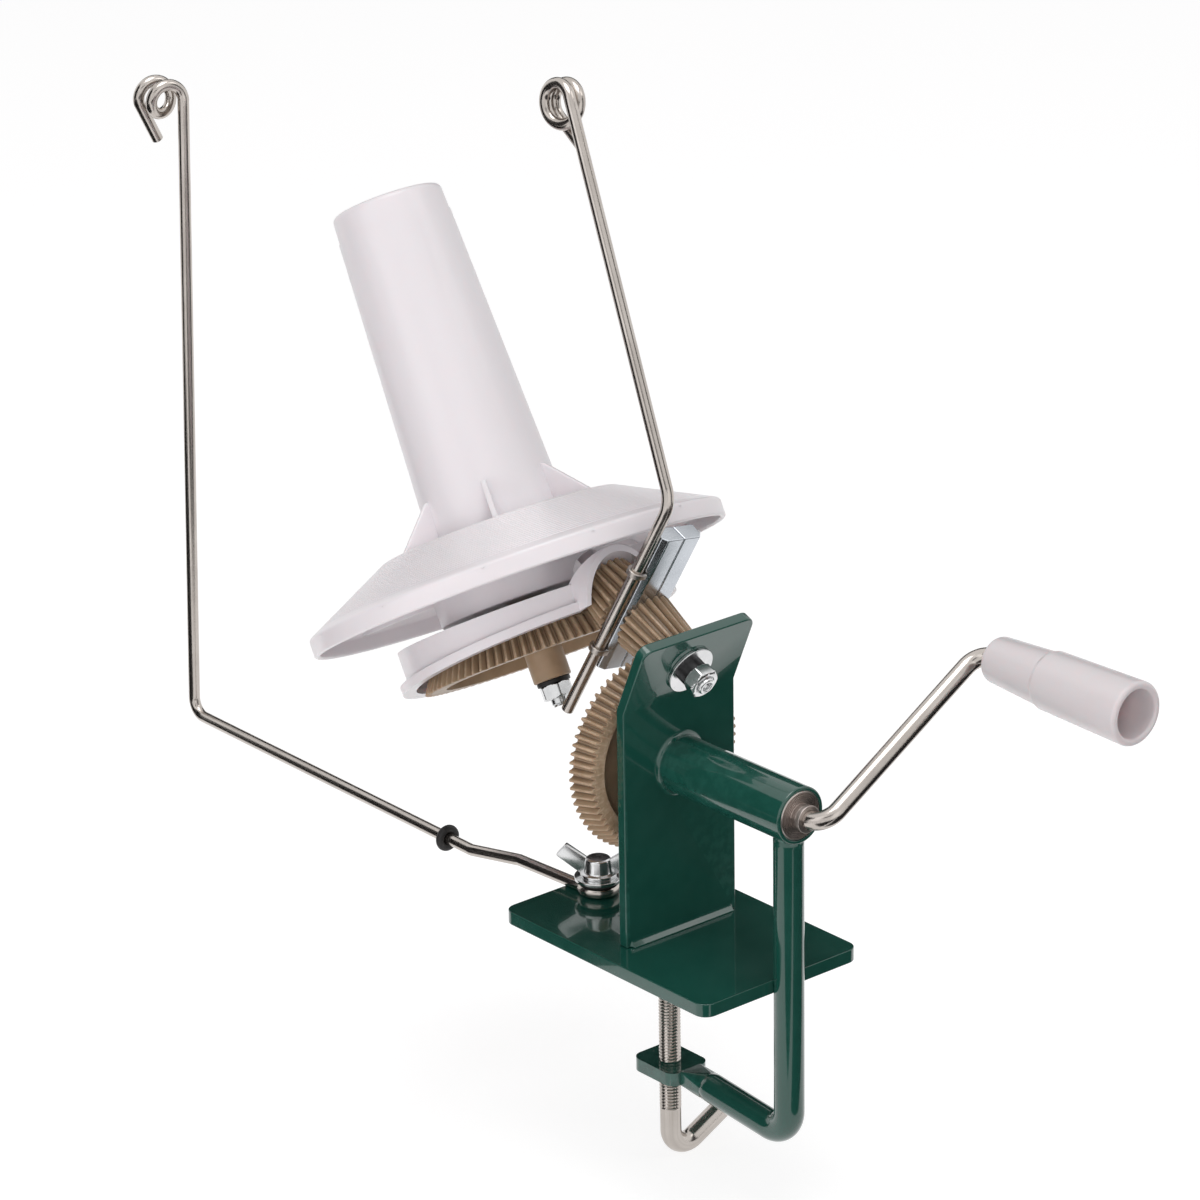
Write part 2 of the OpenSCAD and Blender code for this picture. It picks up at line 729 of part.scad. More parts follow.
module clamp_foot() {
    color("silver") translate([0, 0, -screw_gap - foot_thickness]) difference() {
        cylinder(h = foot_thickness, d = foot_diameter);
        translate([0, 0, -over])
            cylinder(h = neck_length + over, d = neck_diameter + 2 * running_gap);
    }
}

// The axle bolt and what is stacked on it before and behind the upright
module axle_bolt() {
    head_at = hood_floor + boss_length;
    tail = axle_washer_thickness + 2 * spring_washer_thickness + axle_nut_height;
    color("silver") along_axle() {
        translate([0, 0, -tail]) cylinder(h = tail + head_at, d = bolt_diameter);
        translate([0, 0, head_at]) hexagon(head_height, nut_width);
    }
}
module axle_washer() {
    color("silver") along_axle() translate([0, 0, -axle_washer_thickness])
        ring(axle_washer_thickness, big_washer_diameter, bolt_diameter + 2 * fixed_gap);
}
module axle_spring_washers() {
    color("dimgray") along_axle() for (i = [1, 2])
        translate([0, 0, -axle_washer_thickness - i * spring_washer_thickness])
            rotate([0, 0, 120 * i]) difference() {
                ring(spring_washer_thickness, spring_washer_diameter,
                    bolt_diameter + 2 * fixed_gap);
                translate([0, -spring_washer_split / 2, -over])
                    cube([spring_washer_diameter, spring_washer_split,
                        spring_washer_thickness + 2 * over]);
            }
}
module axle_nut() {
    color("silver") along_axle()
        translate([0, 0, -axle_washer_thickness - 2 * spring_washer_thickness - axle_nut_height])
            nut(axle_nut_height, nut_width, bolt_diameter + 2 * fixed_gap);
}
module flyer_sleeve() {
    color("silver") along_axle() translate([0, 0, upright_thickness])
        ring(hood_floor - upright_thickness, sleeve_outer, bolt_diameter + 2 * fixed_gap);
}
module thrust_washers() {
    color("silver") along_axle() translate([0, 0, upright_thickness])
        ring(thrust_thickness, thrust_diameter, sleeve_outer + 2 * fixed_gap);
}

// The small gear that the drive gear turns, with the pin that carries the flyer's bars
module lower_flyer_gear() {
    hub_at = upright_thickness + thrust_thickness + face_gap;
    color("tan") along_axle() difference() {
        union() {
            translate([0, 0, bar_start]) mirror([0, 0, 1]) rotate([0, 0, 180 / pinion_teeth])
                bevel_teeth(pinion_teeth, lower_cone, drive_apex + bar_start,
                    bar_start - lower_start);
            translate([0, 0, hub_at]) cylinder(h = lower_start - hub_at + over, d = lower_hub_diameter);
            translate([0, 0, bar_start - over]) cylinder(h = bar_depth + over, d = pin_hub_diameter);
        }
        translate([0, 0, hub_at - over])
            cylinder(h = bar_start + bar_depth, d = sleeve_outer + 2 * running_gap);
    }
}
// The gear that turns the ring gear
module upper_flyer_gear() {
    color("tan") along_axle() difference() {
        union() {
            translate([0, 0, upper_start]) rotate([0, 0, cover_turn + 180 / pinion_teeth])
                bevel_teeth(pinion_teeth, upper_cone, cone_apex - upper_start, upper_length);
            translate([0, 0, upper_start - upper_collar])
                cylinder(h = upper_collar + over, d = upper_collar_diameter);
        }
        translate([0, 0, upper_start - upper_collar - over])
            cylinder(h = upper_collar + upper_length + 2 * over, d = sleeve_outer + 2 * running_gap);
    }
}

// One of the flyer's two bars, on the side of the positive Y axis
module flyer_bar() {
    translate([0, 0, bar_start]) difference() {
        translate([-bar_below, bar_gap / 2, 0]) rotate([90, 0, 90])
            linear_extrude(height = bar_below + bar_above)
                polygon([[0, 0], [bar_width - bar_chamfer, 0], [bar_width, bar_chamfer],
                    [bar_width, bar_depth], [0, bar_depth]]);
        translate([0, 0, -over])
            cylinder(h = bar_depth + 2 * over, d = pin_hub_diameter + 2 * fixed_gap);
    }
}
module front_flyer_bar() { color("silver") along_flyer() mirror([0, 1, 0]) flyer_bar(); }
module rear_flyer_bar() { color("silver") along_flyer() flyer_bar(); }

// The wire that carries the yarn round the cone
module flyer_arm() {
    up = [sin(arm_spread), 0, cos(arm_spread)];
    foot = [-arm_below, -arm_side, arm_depth_at];
    knee = [arm_bend_at, -arm_side, arm_depth_at];
    tip = knee + arm_length * up;
    color("silver") along_flyer() wire(
        concat(rounded([foot, knee, tip], arm_bend, bend_steps),
            eye_path(tip, up, [-up[2], 0, up[0]], [0, 1, 0], flyer_eye_radius,
                flyer_eye_pitch, flyer_tail)),
        wire_diameter, [0, 1, 0], wire_sides);
}
// The straps that hold the wire to the front bar
module arm_clips() {
    outer = wire_diameter + 2 * clip_wall;
    face = bar_gap / 2 + bar_width;
    color("silver") along_flyer() for (place = clip_places)
        translate([place - clip_width / 2, -arm_side, arm_depth_at]) difference() {
            union() {
                rotate([0, 90, 0]) cylinder(h = clip_width, d = outer);
                translate([0, 0, -outer / 2]) cube([clip_width, arm_side - face, outer]);
            }
            translate([-over, 0, 0]) {
                rotate([0, 90, 0])
                    cylinder(h = clip_width + 2 * over, d = wire_diameter + 2 * running_gap);
                translate([0, 0, -wire_diameter / 2 - running_gap])
                    cube([clip_width + 2 * over, outer, wire_diameter + 2 * running_gap]);
                translate([0, arm_side - face, -outer])
                    cube([clip_width + 2 * over, outer, 2 * outer]);
            }
        }
}

// The cover over the ring gear, with the hood over the flyer's upper gear
module gear_cover() {
    foot = cover_depth + cover_height;
    drum_floor = cover_depth + cover_wall;
    color("white") along_cone() difference() {
        union() {
            translate([0, 0, -foot]) cylinder(h = cover_height, r = cover_radius);
            translate([0, 0, -foot]) rotate([0, -cut_lean, 0])
                cylinder(h = lip_thickness + cover_radius * sin(cut_lean),
                    r = cover_radius + cover_lip);
            intersection() {
                axle_from_cone() translate([0, 0, hood_start])
                    cylinder(h = hood_floor + hood_wall - hood_start, r1 = hood_inner + hood_wall,
                        r2 = hood_end_inner + hood_wall);
                translate([0, 0, -2 * foot]) cylinder(h = 2 * foot, r = hood_reach);
            }
            axle_from_cone() translate([0, 0, hood_floor - over])
                cylinder(h = boss_length + over, r = boss_radius);
        }
        difference() {
            translate([0, 0, -2 * foot]) cylinder(h = 2 * foot - drum_floor,
                r = cover_radius - cover_wall);
            translate([0, 0, -bearing_end])
                cylinder(h = bearing_end - drum_floor + over, r = hub_radius + bearing_wall);
        }
        translate([0, 0, -2 * foot]) cylinder(h = 2 * foot, r = hub_radius + running_gap);
        axle_from_cone() {
            translate([0, 0, hood_start])
                cylinder(h = hood_floor - hood_start, r1 = hood_inner, r2 = hood_end_inner);
            cylinder(h = hood_floor + boss_length + over, d = bolt_diameter + 2 * fixed_gap);
        }
        translate([0, 0, -foot + cover_radius * sin(cut_lean) - lip_thickness])
            rotate([0, -cut_lean, 0])
                translate([-2 * foot, -2 * foot, -2 * foot]) cube([4 * foot, 4 * foot, 2 * foot]);
    }
}

// The ring gear under the cover, with its hub, web and boss
module ring_gear() {
    boss_at = web_top + web_thickness + ring_boss;
    color("tan") along_cone() difference() {
        union() {
            difference() {
                translate([0, 0, -ring_depth])
                    bevel_teeth(ring_teeth, ring_cone, ring_depth, ring_face);
                translate([0, 0, -ring_depth - over])
                    cylinder(h = ring_depth + over - web_top - web_thickness, r = cup_radius);
            }
            translate([0, 0, -web_top - web_thickness])
                cylinder(h = web_top + web_thickness - neck_depth, r = hub_radius);
            translate([0, 0, -boss_at]) cylinder(h = ring_boss + over, r = ring_boss_radius);
        }
        translate([0, 0, -boss_at - over])
            cylinder(h = boss_at, d = bolt_diameter + 2 * fixed_gap);
    }
}
module spindle_bolt() {
    boss_at = web_top + web_thickness + ring_boss;
    length = boss_at + spindle_washer_thickness + spindle_nut_height + spindle_tail;
    head_at = neck_depth - cone_wall;
    color("silver") along_cone() {
        translate([0, 0, -length]) cylinder(h = length - head_at, d = bolt_diameter);
        translate([0, 0, -head_at]) hexagon(head_height, nut_width);
    }
}
module spindle_washer() {
    color("black") along_cone()
        translate([0, 0, -web_top - web_thickness - ring_boss - spindle_washer_thickness])
            ring(spindle_washer_thickness, spindle_washer_diameter, bolt_diameter + 2 * fixed_gap);
}
module spindle_nut() {
    color("silver") along_cone()
        translate([0, 0, -web_top - web_thickness - ring_boss - spindle_washer_thickness
            - spindle_nut_height])
            nut(spindle_nut_height, nut_width, bolt_diameter + 2 * fixed_gap);
}

// Radius of the cone's outside at a depth below the crossing point
function cone_radius_at(depth) = cone_top_radius + (cone_foot_radius - cone_top_radius)
    * (depth + cone_top - cap_height) / (flange_flat_depth + cone_top - cap_height);

// The flange with its grooved slope, rim, neck, spigot, ribs beneath and fins above
module cone_flange() {
    spigot_outer = cone_foot_radius - cone_wall - fixed_gap;
    color("white") along_cone() difference() {
        union() {
            rotate_extrude() polygon(concat(
                [[spigot_outer - cone_wall, -flange_flat_depth + spigot_height],
                 [spigot_outer - cone_wall, -flange_flat_depth - flange_wall],
                 [neck_radius - cone_wall, -flange_flat_depth - flange_wall],
                 [neck_radius - cone_wall, -neck_depth + cone_wall],
                 [0, -neck_depth + cone_wall], [0, -neck_depth], [neck_radius, -neck_depth],
                 [neck_radius, -flange_flat_depth - flange_wall],
                 [flange_flat_radius, -flange_flat_depth - flange_wall],
                 [flange_radius - flange_wall, -flange_rim_depth - flange_wall
                     + flange_wall * flange_inner_slope],
                 [flange_radius - flange_wall, -flange_rim_depth - flange_skirt]],
                corner([0, -flange_rim_depth - flange_skirt],
                    [flange_radius, -flange_rim_depth - flange_skirt],
                    [flange_radius, 0], rim_round, 4),
                corner([flange_radius, -neck_depth], [flange_radius, -flange_rim_depth],
                    [flange_flat_radius, -flange_flat_depth], rim_round, 4),
                [for (i = [groove_count - 1:-1:0])
                    let (step = (flange_radius - 2 * rim_round - flange_flat_radius) / groove_count,
                         outer = flange_flat_radius + (i + 1) * step,
                         inner = flange_flat_radius + (i + 0.5) * step)
                    each [[outer - groove_land / 2, -slope_depth(outer - groove_land / 2)],
                        [inner, -slope_depth(inner) - groove_depth],
                        [inner - groove_land / 2, -slope_depth(inner - groove_land / 2)]]],
                [[flange_flat_radius, -flange_flat_depth], [spigot_outer, -flange_flat_depth],
                 [spigot_outer, -flange_flat_depth + spigot_height]]));
            for (i = [0:rib_count - 1]) rotate([0, 0, 360 * (i + 0.5) / rib_count])
                rotate([90, 0, 0]) linear_extrude(height = rib_thickness, center = true)
                    polygon([[neck_radius - cone_wall / 2, -flange_flat_depth - flange_wall / 2],
                        [flange_flat_radius, -flange_flat_depth - flange_wall / 2],
                        [rib_end, -rib_depth], [neck_radius - cone_wall / 2, -rib_depth]]);
            for (i = [0:fin_count - 1]) rotate([0, 0, fin_angle + 360 * i / fin_count])
                rotate([90, 0, 0]) linear_extrude(height = fin_thickness, center = true)
                    polygon([[cone_foot_radius - cone_wall / 2, -flange_flat_depth - flange_wall / 2],
                        [cone_foot_radius + fin_reach, -flange_flat_depth - flange_wall / 2],
                        [cone_foot_radius + fin_reach, -flange_flat_depth],
                        [cone_foot_radius - cone_wall / 2, -flange_flat_depth + fin_height]]);
        }
        translate([0, 0, -flange_flat_depth]) cylinder(h = 2 * fin_height,
            r1 = cone_foot_radius + fixed_gap, r2 = cone_radius_at(flange_flat_depth - 2 * fin_height)
            + fixed_gap);
        translate([0, 0, -neck_depth - over])
            cylinder(h = cone_wall + 2 * over, d = bolt_diameter + 2 * fixed_gap);
    }
}
// Depth of the flange's slope at a radius
function slope_depth(radius) =
    flange_flat_depth + (radius - flange_flat_radius) * flange_inner_slope;
rib_end = flange_flat_radius + (rib_depth - flange_flat_depth - flange_wall / 2) / flange_inner_slope;

module cone_tube() {
    length = flange_flat_depth + cone_top - cap_height;
    color("white") along_cone() translate([0, 0, -flange_flat_depth]) difference() {
        cylinder(h = length, r1 = cone_foot_radius, r2 = cone_top_radius);
        translate([0, 0, -over]) cylinder(h = length + 2 * over, r1 = cone_foot_radius - cone_wall,
            r2 = cone_top_radius - cone_wall);
    }
}
// The cap that closes the cone, a little slimmer than the tube
module cone_cap() {
    foot = cone_top_radius - cap_step;
    plug = cone_top_radius - cone_wall - fixed_gap - cap_step;
    color("white") along_cone() translate([0, 0, cone_top - cap_height]) rotate_extrude()
        polygon(rounded_outline([
            [0, cap_height], [0, cap_height - cone_wall], [plug - cone_wall, cap_height - cone_wall],
            [plug - cone_wall, -spigot_height], [plug, -spigot_height], [plug, 0], [foot, 0],
            [foot - cap_step, cap_height]],
            [0, 0, 0, 0, 0, 0, 0, cap_round], 6));
}

// The yarn guide: a wire with a flat eye under the wing bolt and a coil at its top
module yarn_guide() {
    first = [-cos(guide_first_heading), -sin(guide_first_heading), 0];
    second = [-cos(guide_second_heading), -sin(guide_second_heading), 0];
    third = [-cos(guide_third_heading), -sin(guide_third_heading), 0];
    up = [0, sin(guide_lean), cos(guide_lean)];
    start = guide_ring_radius * [-cos(guide_start_angle), -sin(guide_start_angle), 0];
    fall = guide_level - guide_run_height;
    knee = start + guide_first_run * first;
    ankle = knee + guide_second_run * second - [0, 0, fall];
    corner_point = ankle + (guide_reach + ankle[0]) * third;
    tip = corner_point + (guide_eye_height - guide_level) * up;
    color("silver") translate([-guide_pivot_back, -guide_pivot_side, guide_level]) {
        rotate_extrude() translate([guide_ring_radius, 0]) circle(d = wire_diameter);
        wire(concat(rounded([start, knee, ankle, corner_point, tip], wire_bend, bend_steps),
            eye_path(tip, up, [0, -up[2], up[1]], [-1, 0, 0], guide_eye_radius,
                guide_eye_pitch, guide_tail)),
            wire_diameter, [0, 1, 0], wire_sides);
    }
}
// The rubber ring that the guide rests on
module guide_ring() {
    place = start_of_ring();
    color("black") translate([-guide_pivot_back, -guide_pivot_side, guide_run_height])
        translate(place) rotate([0, -90, guide_third_heading]) rotate_extrude()
            difference() {
                translate([ring_outer / 2 - ring_section / 2, 0]) circle(d = ring_section);
                translate([0, -ring_section]) square([wire_diameter / 2 + fixed_gap, 2 * ring_section]);
            }
}
function start_of_ring() =
    let (start = guide_ring_radius * [-cos(guide_start_angle), -sin(guide_start_angle), 0],
         knee = start + guide_first_run * [-cos(guide_first_heading), -sin(guide_first_heading), 0],
         ankle = knee + guide_second_run * [-cos(guide_second_heading), -sin(guide_second_heading), 0])
    ankle + guide_ring_share * guide_reach * [-cos(guide_third_heading), -sin(guide_third_heading), 0];

// The wing bolt, its shank and two wings
module wing_bolt() {
    color("silver") translate([-guide_pivot_back, -guide_pivot_side, 0]) {
        translate([0, 0, wing_bolt_end]) cylinder(h = wing_level - wing_bolt_end, d = bolt_diameter);
        translate([0, 0, wing_level]) rotate_extrude() polygon(rounded_outline([[0, 0],
            [wing_hub_radius, 0], [wing_top_radius, wing_hub_height], [0, wing_hub_height]],
            [0, 0, wing_top_radius / 3, 0], 5));
        translate([0, 0, wing_level]) for (turn = [wing_angle, wing_angle + 180])
            rotate([90, 0, turn]) linear_extrude(height = wing_thickness, center = true) wing_outline();
    }
}
module wing_outline() {
    tip = [wing_reach - wing_width / 2, wing_rise];
    polygon([[wing_top_radius / 2, 0], [wing_hub_radius, 0],
        tip + wing_width / 2 * [sin(wing_slope), -cos(wing_slope)],
        tip + wing_width / 2 * [-sin(wing_slope), cos(wing_slope)],
        [wing_top_radius / 2, wing_hub_height * wing_root_share]]);
    translate(tip) circle(d = wing_width);
}
module wing_bolt_washer() {
    color("silver") translate([-guide_pivot_back, -guide_pivot_side, wing_washer_level])
        ring(wing_washer_thickness, 2 * wing_washer_radius, bolt_diameter + 2 * running_gap);
}
module guide_washer() {
    color("black") translate([-guide_pivot_back, -guide_pivot_side, guide_washer_level])
        ring(rubber_washer_thickness, 2 * rubber_washer_radius, bolt_diameter + 2 * running_gap);
}

base_plate();
upright_plate();
crank_tube();
front_bush();
rear_bush();
clamp_rod();
crank_rod_and_arm();
crank_collar();
drive_gear();
drive_gear_washer();
drive_gear_nut();
handle_grip();
grip_retainer();
clamp_screw();
clamp_foot();
axle_bolt();
axle_washer();
axle_spring_washers();
axle_nut();
flyer_sleeve();
thrust_washers();
lower_flyer_gear();
upper_flyer_gear();
front_flyer_bar();
rear_flyer_bar();
flyer_arm();
arm_clips();
gear_cover();
ring_gear();
spindle_bolt();
spindle_washer();
spindle_nut();
cone_flange();
cone_tube();
cone_cap();
yarn_guide();
guide_ring();
wing_bolt();
wing_bolt_washer();
guide_washer();
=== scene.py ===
"""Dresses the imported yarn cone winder: its plastic, plated and painted pieces, its light and its camera."""

import json
import math

import bmesh
import bpy
from mathutils import Matrix, Vector


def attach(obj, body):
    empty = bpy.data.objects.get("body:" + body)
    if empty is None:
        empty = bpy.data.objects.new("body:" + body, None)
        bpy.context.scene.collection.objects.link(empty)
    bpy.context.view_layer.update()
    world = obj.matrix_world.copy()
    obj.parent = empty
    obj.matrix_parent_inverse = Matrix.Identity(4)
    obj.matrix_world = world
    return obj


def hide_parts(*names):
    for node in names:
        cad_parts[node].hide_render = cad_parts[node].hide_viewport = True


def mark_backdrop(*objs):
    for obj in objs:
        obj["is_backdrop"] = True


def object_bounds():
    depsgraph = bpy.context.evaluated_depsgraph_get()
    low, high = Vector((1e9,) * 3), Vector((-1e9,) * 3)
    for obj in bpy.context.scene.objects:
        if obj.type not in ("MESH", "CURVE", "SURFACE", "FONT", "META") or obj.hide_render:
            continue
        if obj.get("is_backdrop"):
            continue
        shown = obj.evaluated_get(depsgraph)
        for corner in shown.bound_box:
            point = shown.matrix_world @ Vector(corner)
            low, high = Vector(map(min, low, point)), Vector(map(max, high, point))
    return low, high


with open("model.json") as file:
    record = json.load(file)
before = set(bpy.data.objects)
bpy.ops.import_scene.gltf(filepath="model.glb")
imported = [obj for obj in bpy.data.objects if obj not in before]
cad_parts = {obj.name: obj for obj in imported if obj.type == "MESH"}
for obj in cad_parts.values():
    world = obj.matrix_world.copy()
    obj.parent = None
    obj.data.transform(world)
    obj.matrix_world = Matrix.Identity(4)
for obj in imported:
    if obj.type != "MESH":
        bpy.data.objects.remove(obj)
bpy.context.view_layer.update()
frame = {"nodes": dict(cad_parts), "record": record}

bl_info = {
    "name": "Yarn Cone Winder",
    "version": (1, 0, 0),
    "blender": (4, 5, 0),
    "location": "3D View > Sidebar > Winder",
    "description": "Builds the visible pieces of a hand-cranked yarn cone winder",
    "category": "Object",
}

# Turns in degrees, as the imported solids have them
LEAN = 23.6
CONE_TILT = 30.9
AXES_ANGLE = 90 - LEAN - CONE_TILT
COVER_TURN = 2.0
CRANK_REST = 31.2
FLYER_REST = 11.0
ARM_SPREAD = 37.7
FIRST_FIN = -38
WING_SLOPE = 40
WING_TURN = 40
TOMMY_SLOPE = 27

# Bolts, nuts and washers in millimetres
MM = 0.001
BOLT = 8.0
BORE = 4.02
NUT_WIDTH = 13
NUT_HEIGHT = 6.5
AXLE_NUT = 6
WASHER = 1.6
RUBBER_WASHER = 2
SPINDLE_THREAD = (BOLT, 1.25, 0.7)
SPRING_WASHERS = 2 * 1.7
AXLE_STACK = WASHER + SPRING_WASHERS

# The welded frame
BASE_THICKNESS = 6.0
UPRIGHT_FRONT = 8.7
UPRIGHT_BACK = UPRIGHT_FRONT - 5.0
BEND_HEIGHT = 113.5
AXLE_RISE = 16.2
ROD_DIAMETER = 13.0
ROD_X = 77.0
ROD_TOP = 71.5
ROD_CORNER = -67.5
ROD_INNER = (26.2, -63.05)
ROD_BEND = 11
ROD_PROUD = 0.12
TUBE_END = ROD_X + 7.4
TUBE_OUTER = 25.4
TUBE_WALL = 1.8
TUBE_WELD = 2.0
WELD_SINK = 0.3
PAD_ROUND = 0.8

# The clamp screw
FOOT_AT = 12
FOOT_THICKNESS = 6
SCREW_TOP = -FOOT_AT - FOOT_THICKNESS - 0.3
SCREW_NECK = 3.3
SCREW_THREAD = (9.6, 1.5, 0.75)
SCREW_THREADED = 65
SHANK = 9.3
SHANK_END = -108
TOMMY_LENGTH = 36
TOMMY_BEND = 9

# The crank, with its grip's outlines as radius, height and rounding of each corner
CRANK_HEIGHT = 83.4
CRANK_RADIUS = 103.0
CRANK_ROD = 8.0
CRANK_BEND = 9.0
ARM_PLANE = TUBE_END + 14.2
GRIP_START = 9.8
GRIP_LENGTH = 82
GRIP_FLOOR = 28
GRIP_MOUTH = 10.6
GRIP_OUTLINE = (
    (4.05, 0, 0), (10, 0, 3), (12, 31.5, 1.2), (12.9, 33.2, 2.2), (14, GRIP_LENGTH, 1.9),
    (GRIP_MOUTH, GRIP_LENGTH, 1.4), (9.6, GRIP_FLOOR, 2.5), (4.05, GRIP_FLOOR, 0))
PIN_PAST_FLOOR = 2.4
EAR_SECTIONS = ((6.6, 0.3, 0.2), (8.0, 1.6, 1.5), (9.4, 1.4, 1.3))
EAR_FOOT = 3.4
BUSH_DEPTH = 18
BUSH_NOSE = 2.6
BUSH_RINGS = 5

# The gears
DRIVE_TEETH = 70
PINION_TEETH = 20
RING_TEETH = 79
DRIVE_DEPTH = 10.5
DRIVE_BACK = UPRIGHT_BACK - 5.2 - DRIVE_DEPTH
DRIVE_HUB_END = UPRIGHT_BACK - 2.2 - 0.3
DRIVE_RIM = (38, 9.6)
DRIVE_DISH = (33, 3)
DRIVE_HUB = 10
PINION_BORE = 5.45
PINION_GAP = 1.5
LOWER_FACE_END = 8
LOWER_HUB = (8, 23.5)
PINION_NECK = 7
UPPER_FACE = 17.3
UPPER_HUB = 10
CONE_APEX = 156.4
RING_REACH = 98.1
RING_FACE = 9.5
RING_WEB_AT = 87.5
RING_BOSS_AT = RING_WEB_AT + 3.0
RING_BOSS_END = RING_BOSS_AT + 18.5
RING_DISH = 46
RING_BOSS = 8.5
RING_HUB = 8.4

# The wires, each eye as its radius, its pitch and its tail
WIRE = 5.3
BAR_START = 31.8
BAR_DEPTH = 8.7
ARM_SIDE = 0.2 + 11.7 + 0.15
ARM_BELOW = 50.5
ARM_BEND_AT = 61.5
ARM_LENGTH = 176
ARM_BEND = 14
ARM_EYE = (8.7, 5.6, 16)
GUIDE_PIVOT = (-43.4, -2.4)
GUIDE_RING = BOLT + 0.6
GUIDE_STEPS = ((40, 4), (27, 12), (282, -0.8))
GUIDE_FOOT_HEADING = 44
GUIDE_RUN_LEVEL = 6.4
GUIDE_HEIGHT = 307
GUIDE_LEAN = 1.8
GUIDE_BEND = 8
GUIDE_EYE = (7.1, 9.7, 21)

# The cone and its flange
FLAT_RADIUS = 53.8
FLAT_DEPTH = 38.5
RIM_RADIUS = 94.3
RIM_DEPTH = 58.9
SKIRT = 8.2
FOOT_RADIUS = 31.0
TOP_RADIUS = 25.6
CONE_TOP = 111.8
CAP = 12.0
WALL = 2.2
NECK_RADIUS = 38.2
NECK_DEPTH = 73.0
FLANGE_WALL = 2.6
FIN_HEIGHT = 18.5
FIN_REACH = 18
FIN_THICKNESS = 2.4
RIB_DEPTH = 60.5
RIB_THICKNESS = 2.0
GROOVE_DEPTH = 0.6

# The wing bolt
WING_LEVEL = 14.3
WING_HUB = (
    (0.01, -WING_LEVEL - 1, 0), (BOLT / 2, -WING_LEVEL - 1, 0.6), (BOLT / 2, 0, 0), (8, 0, 0.3),
    (8, 1.5, 0.6), (6.3, 2.1, 0.9), (5.7, 8.5, 1.4), (0.01, 8.5, 0))
WING_TIP = (16.4, 11.6)
WING_WIDTH = 7.0
WING_THICKNESS = 3.0


def lengths(x, y, z):
    """A shift in millimetres."""
    return Matrix.Translation((x, y, z))


def turned(angle, axis):
    """A turn in degrees about an axis."""
    return Matrix.Rotation(math.radians(angle), 4, axis)


# Where the turning pieces stand, in millimetres
AXLE = lengths(
    UPRIGHT_FRONT + AXLE_RISE * math.sin(math.radians(LEAN)), 0,
    BEND_HEIGHT + AXLE_RISE * math.cos(math.radians(LEAN)),
) @ turned(LEAN - 90, "Y")
CONE = AXLE @ turned(COVER_TURN, "Z") @ lengths(0, 0, CONE_APEX) @ turned(AXES_ANGLE, "Y")
CRANK = lengths(0, 0, CRANK_HEIGHT) @ turned(90, "Y")
HANDLE = CRANK @ turned(90 + CRANK_REST, "Z") @ lengths(CRANK_RADIUS, 0, ARM_PLANE)
FLYER = AXLE @ turned(FLYER_REST, "Z")


def ring_faces(rings, sides, closed=False):
    """Faces between neighbouring rings of corners, and from the last to the first where closed."""
    spans = rings if closed else rings - 1
    return [[i * sides + j, i * sides + (j + 1) % sides,
             (i + 1) % rings * sides + (j + 1) % sides, (i + 1) % rings * sides + j]
            for i in range(spans) for j in range(sides)]


class Shell:
    """Corners and faces of a piece, gathered in millimetres."""

    def __init__(self):
        self.corners = []
        self.faces = []

    def add(self, corners, faces, place=Matrix()):
        first = len(self.corners)
        self.corners += [place @ Vector(c) for c in corners]
        self.faces += [[first + i for i in face] for face in faces]
        return self

    def lathe(self, outline, place=Matrix(), sides=96):
        """A closed outline of (radius, height) turned about the Z axis."""
        rings = [[(r * math.cos(math.tau * j / sides), r * math.sin(math.tau * j / sides), z)
                  for j in range(sides)] for r, z in outline]
        return self.add([c for ring in rings for c in ring], ring_faces(len(rings), sides, True), place)

    def mesh(self, name, place=Matrix()):
        """The shell as a mesh in metres, closed and facing outwards."""
        mesh = bpy.data.meshes.new(name)
        mesh.from_pydata([tuple(c) for c in self.corners], [], self.faces)
        mesh.transform(Matrix.Scale(MM, 4) @ place)
        return tidied(mesh)


def tidied(mesh, gap=2e-6):
    """The mesh with its doubles merged, its flat slivers gone and its faces outwards."""
    work = bmesh.new()
    work.from_mesh(mesh)
    bmesh.ops.remove_doubles(work, verts=work.verts, dist=gap)
    bmesh.ops.dissolve_degenerate(work, edges=work.edges, dist=gap)
    bmesh.ops.recalc_face_normals(work, faces=work.faces)
    work.to_mesh(mesh)
    work.free()
    return mesh


def corner_arc(before, here, after, radius, steps):
    """Points on the arc that rounds a corner."""
    back, ahead = (before - here).normalized(), (after - here).normalized()
    half = math.acos(max(-1, min(1, back.dot(ahead)))) / 2
    inward, along = (back + ahead).normalized(), (ahead - back).normalized()
    centre = here + inward * radius / math.sin(half)
    turns = [(math.pi / 2 - half) * (2 * step / steps - 1) for step in range(steps + 1)]
    return [centre + radius * (along * math.sin(turn) - inward * math.cos(turn)) for turn in turns]


def rounded(outline, radii, steps=5):
    """A closed outline of pairs with each corner rounded by its own radius."""
    corners = [Vector(point) for point in outline]
    result = []
    for i, (corner, radius) in enumerate(zip(corners, radii)):
        after = corners[(i + 1) % len(corners)]
        result += corner_arc(corners[i - 1], corner, after, radius, steps) if radius else [corner]
    return [tuple(point) for point in result]


def cornered(corners, steps):
    """A closed outline from the radius, height and rounding of each corner."""
    return rounded([corner[:2] for corner in corners], [corner[2] for corner in corners], steps)


def bent_path(points, radius, steps=10, spacing=3.0):
    """Points along a line of straight runs whose corners are rounded, close enough to follow."""
    line = [Vector(p) for p in points]
    result = [line[0]]
    for before, here, after in zip(line, line[1:], line[2:]):
        result += corner_arc(before, here, after, radius, steps)
    result.append(line[-1])
    filled = [result[0]]
    for point in result[1:]:
        gap = (point - filled[-1]).length
        parts = max(1, round(gap / spacing))
        start = filled[-1]
        filled += [start.lerp(point, (k + 1) / parts) for k in range(parts)]
    return filled


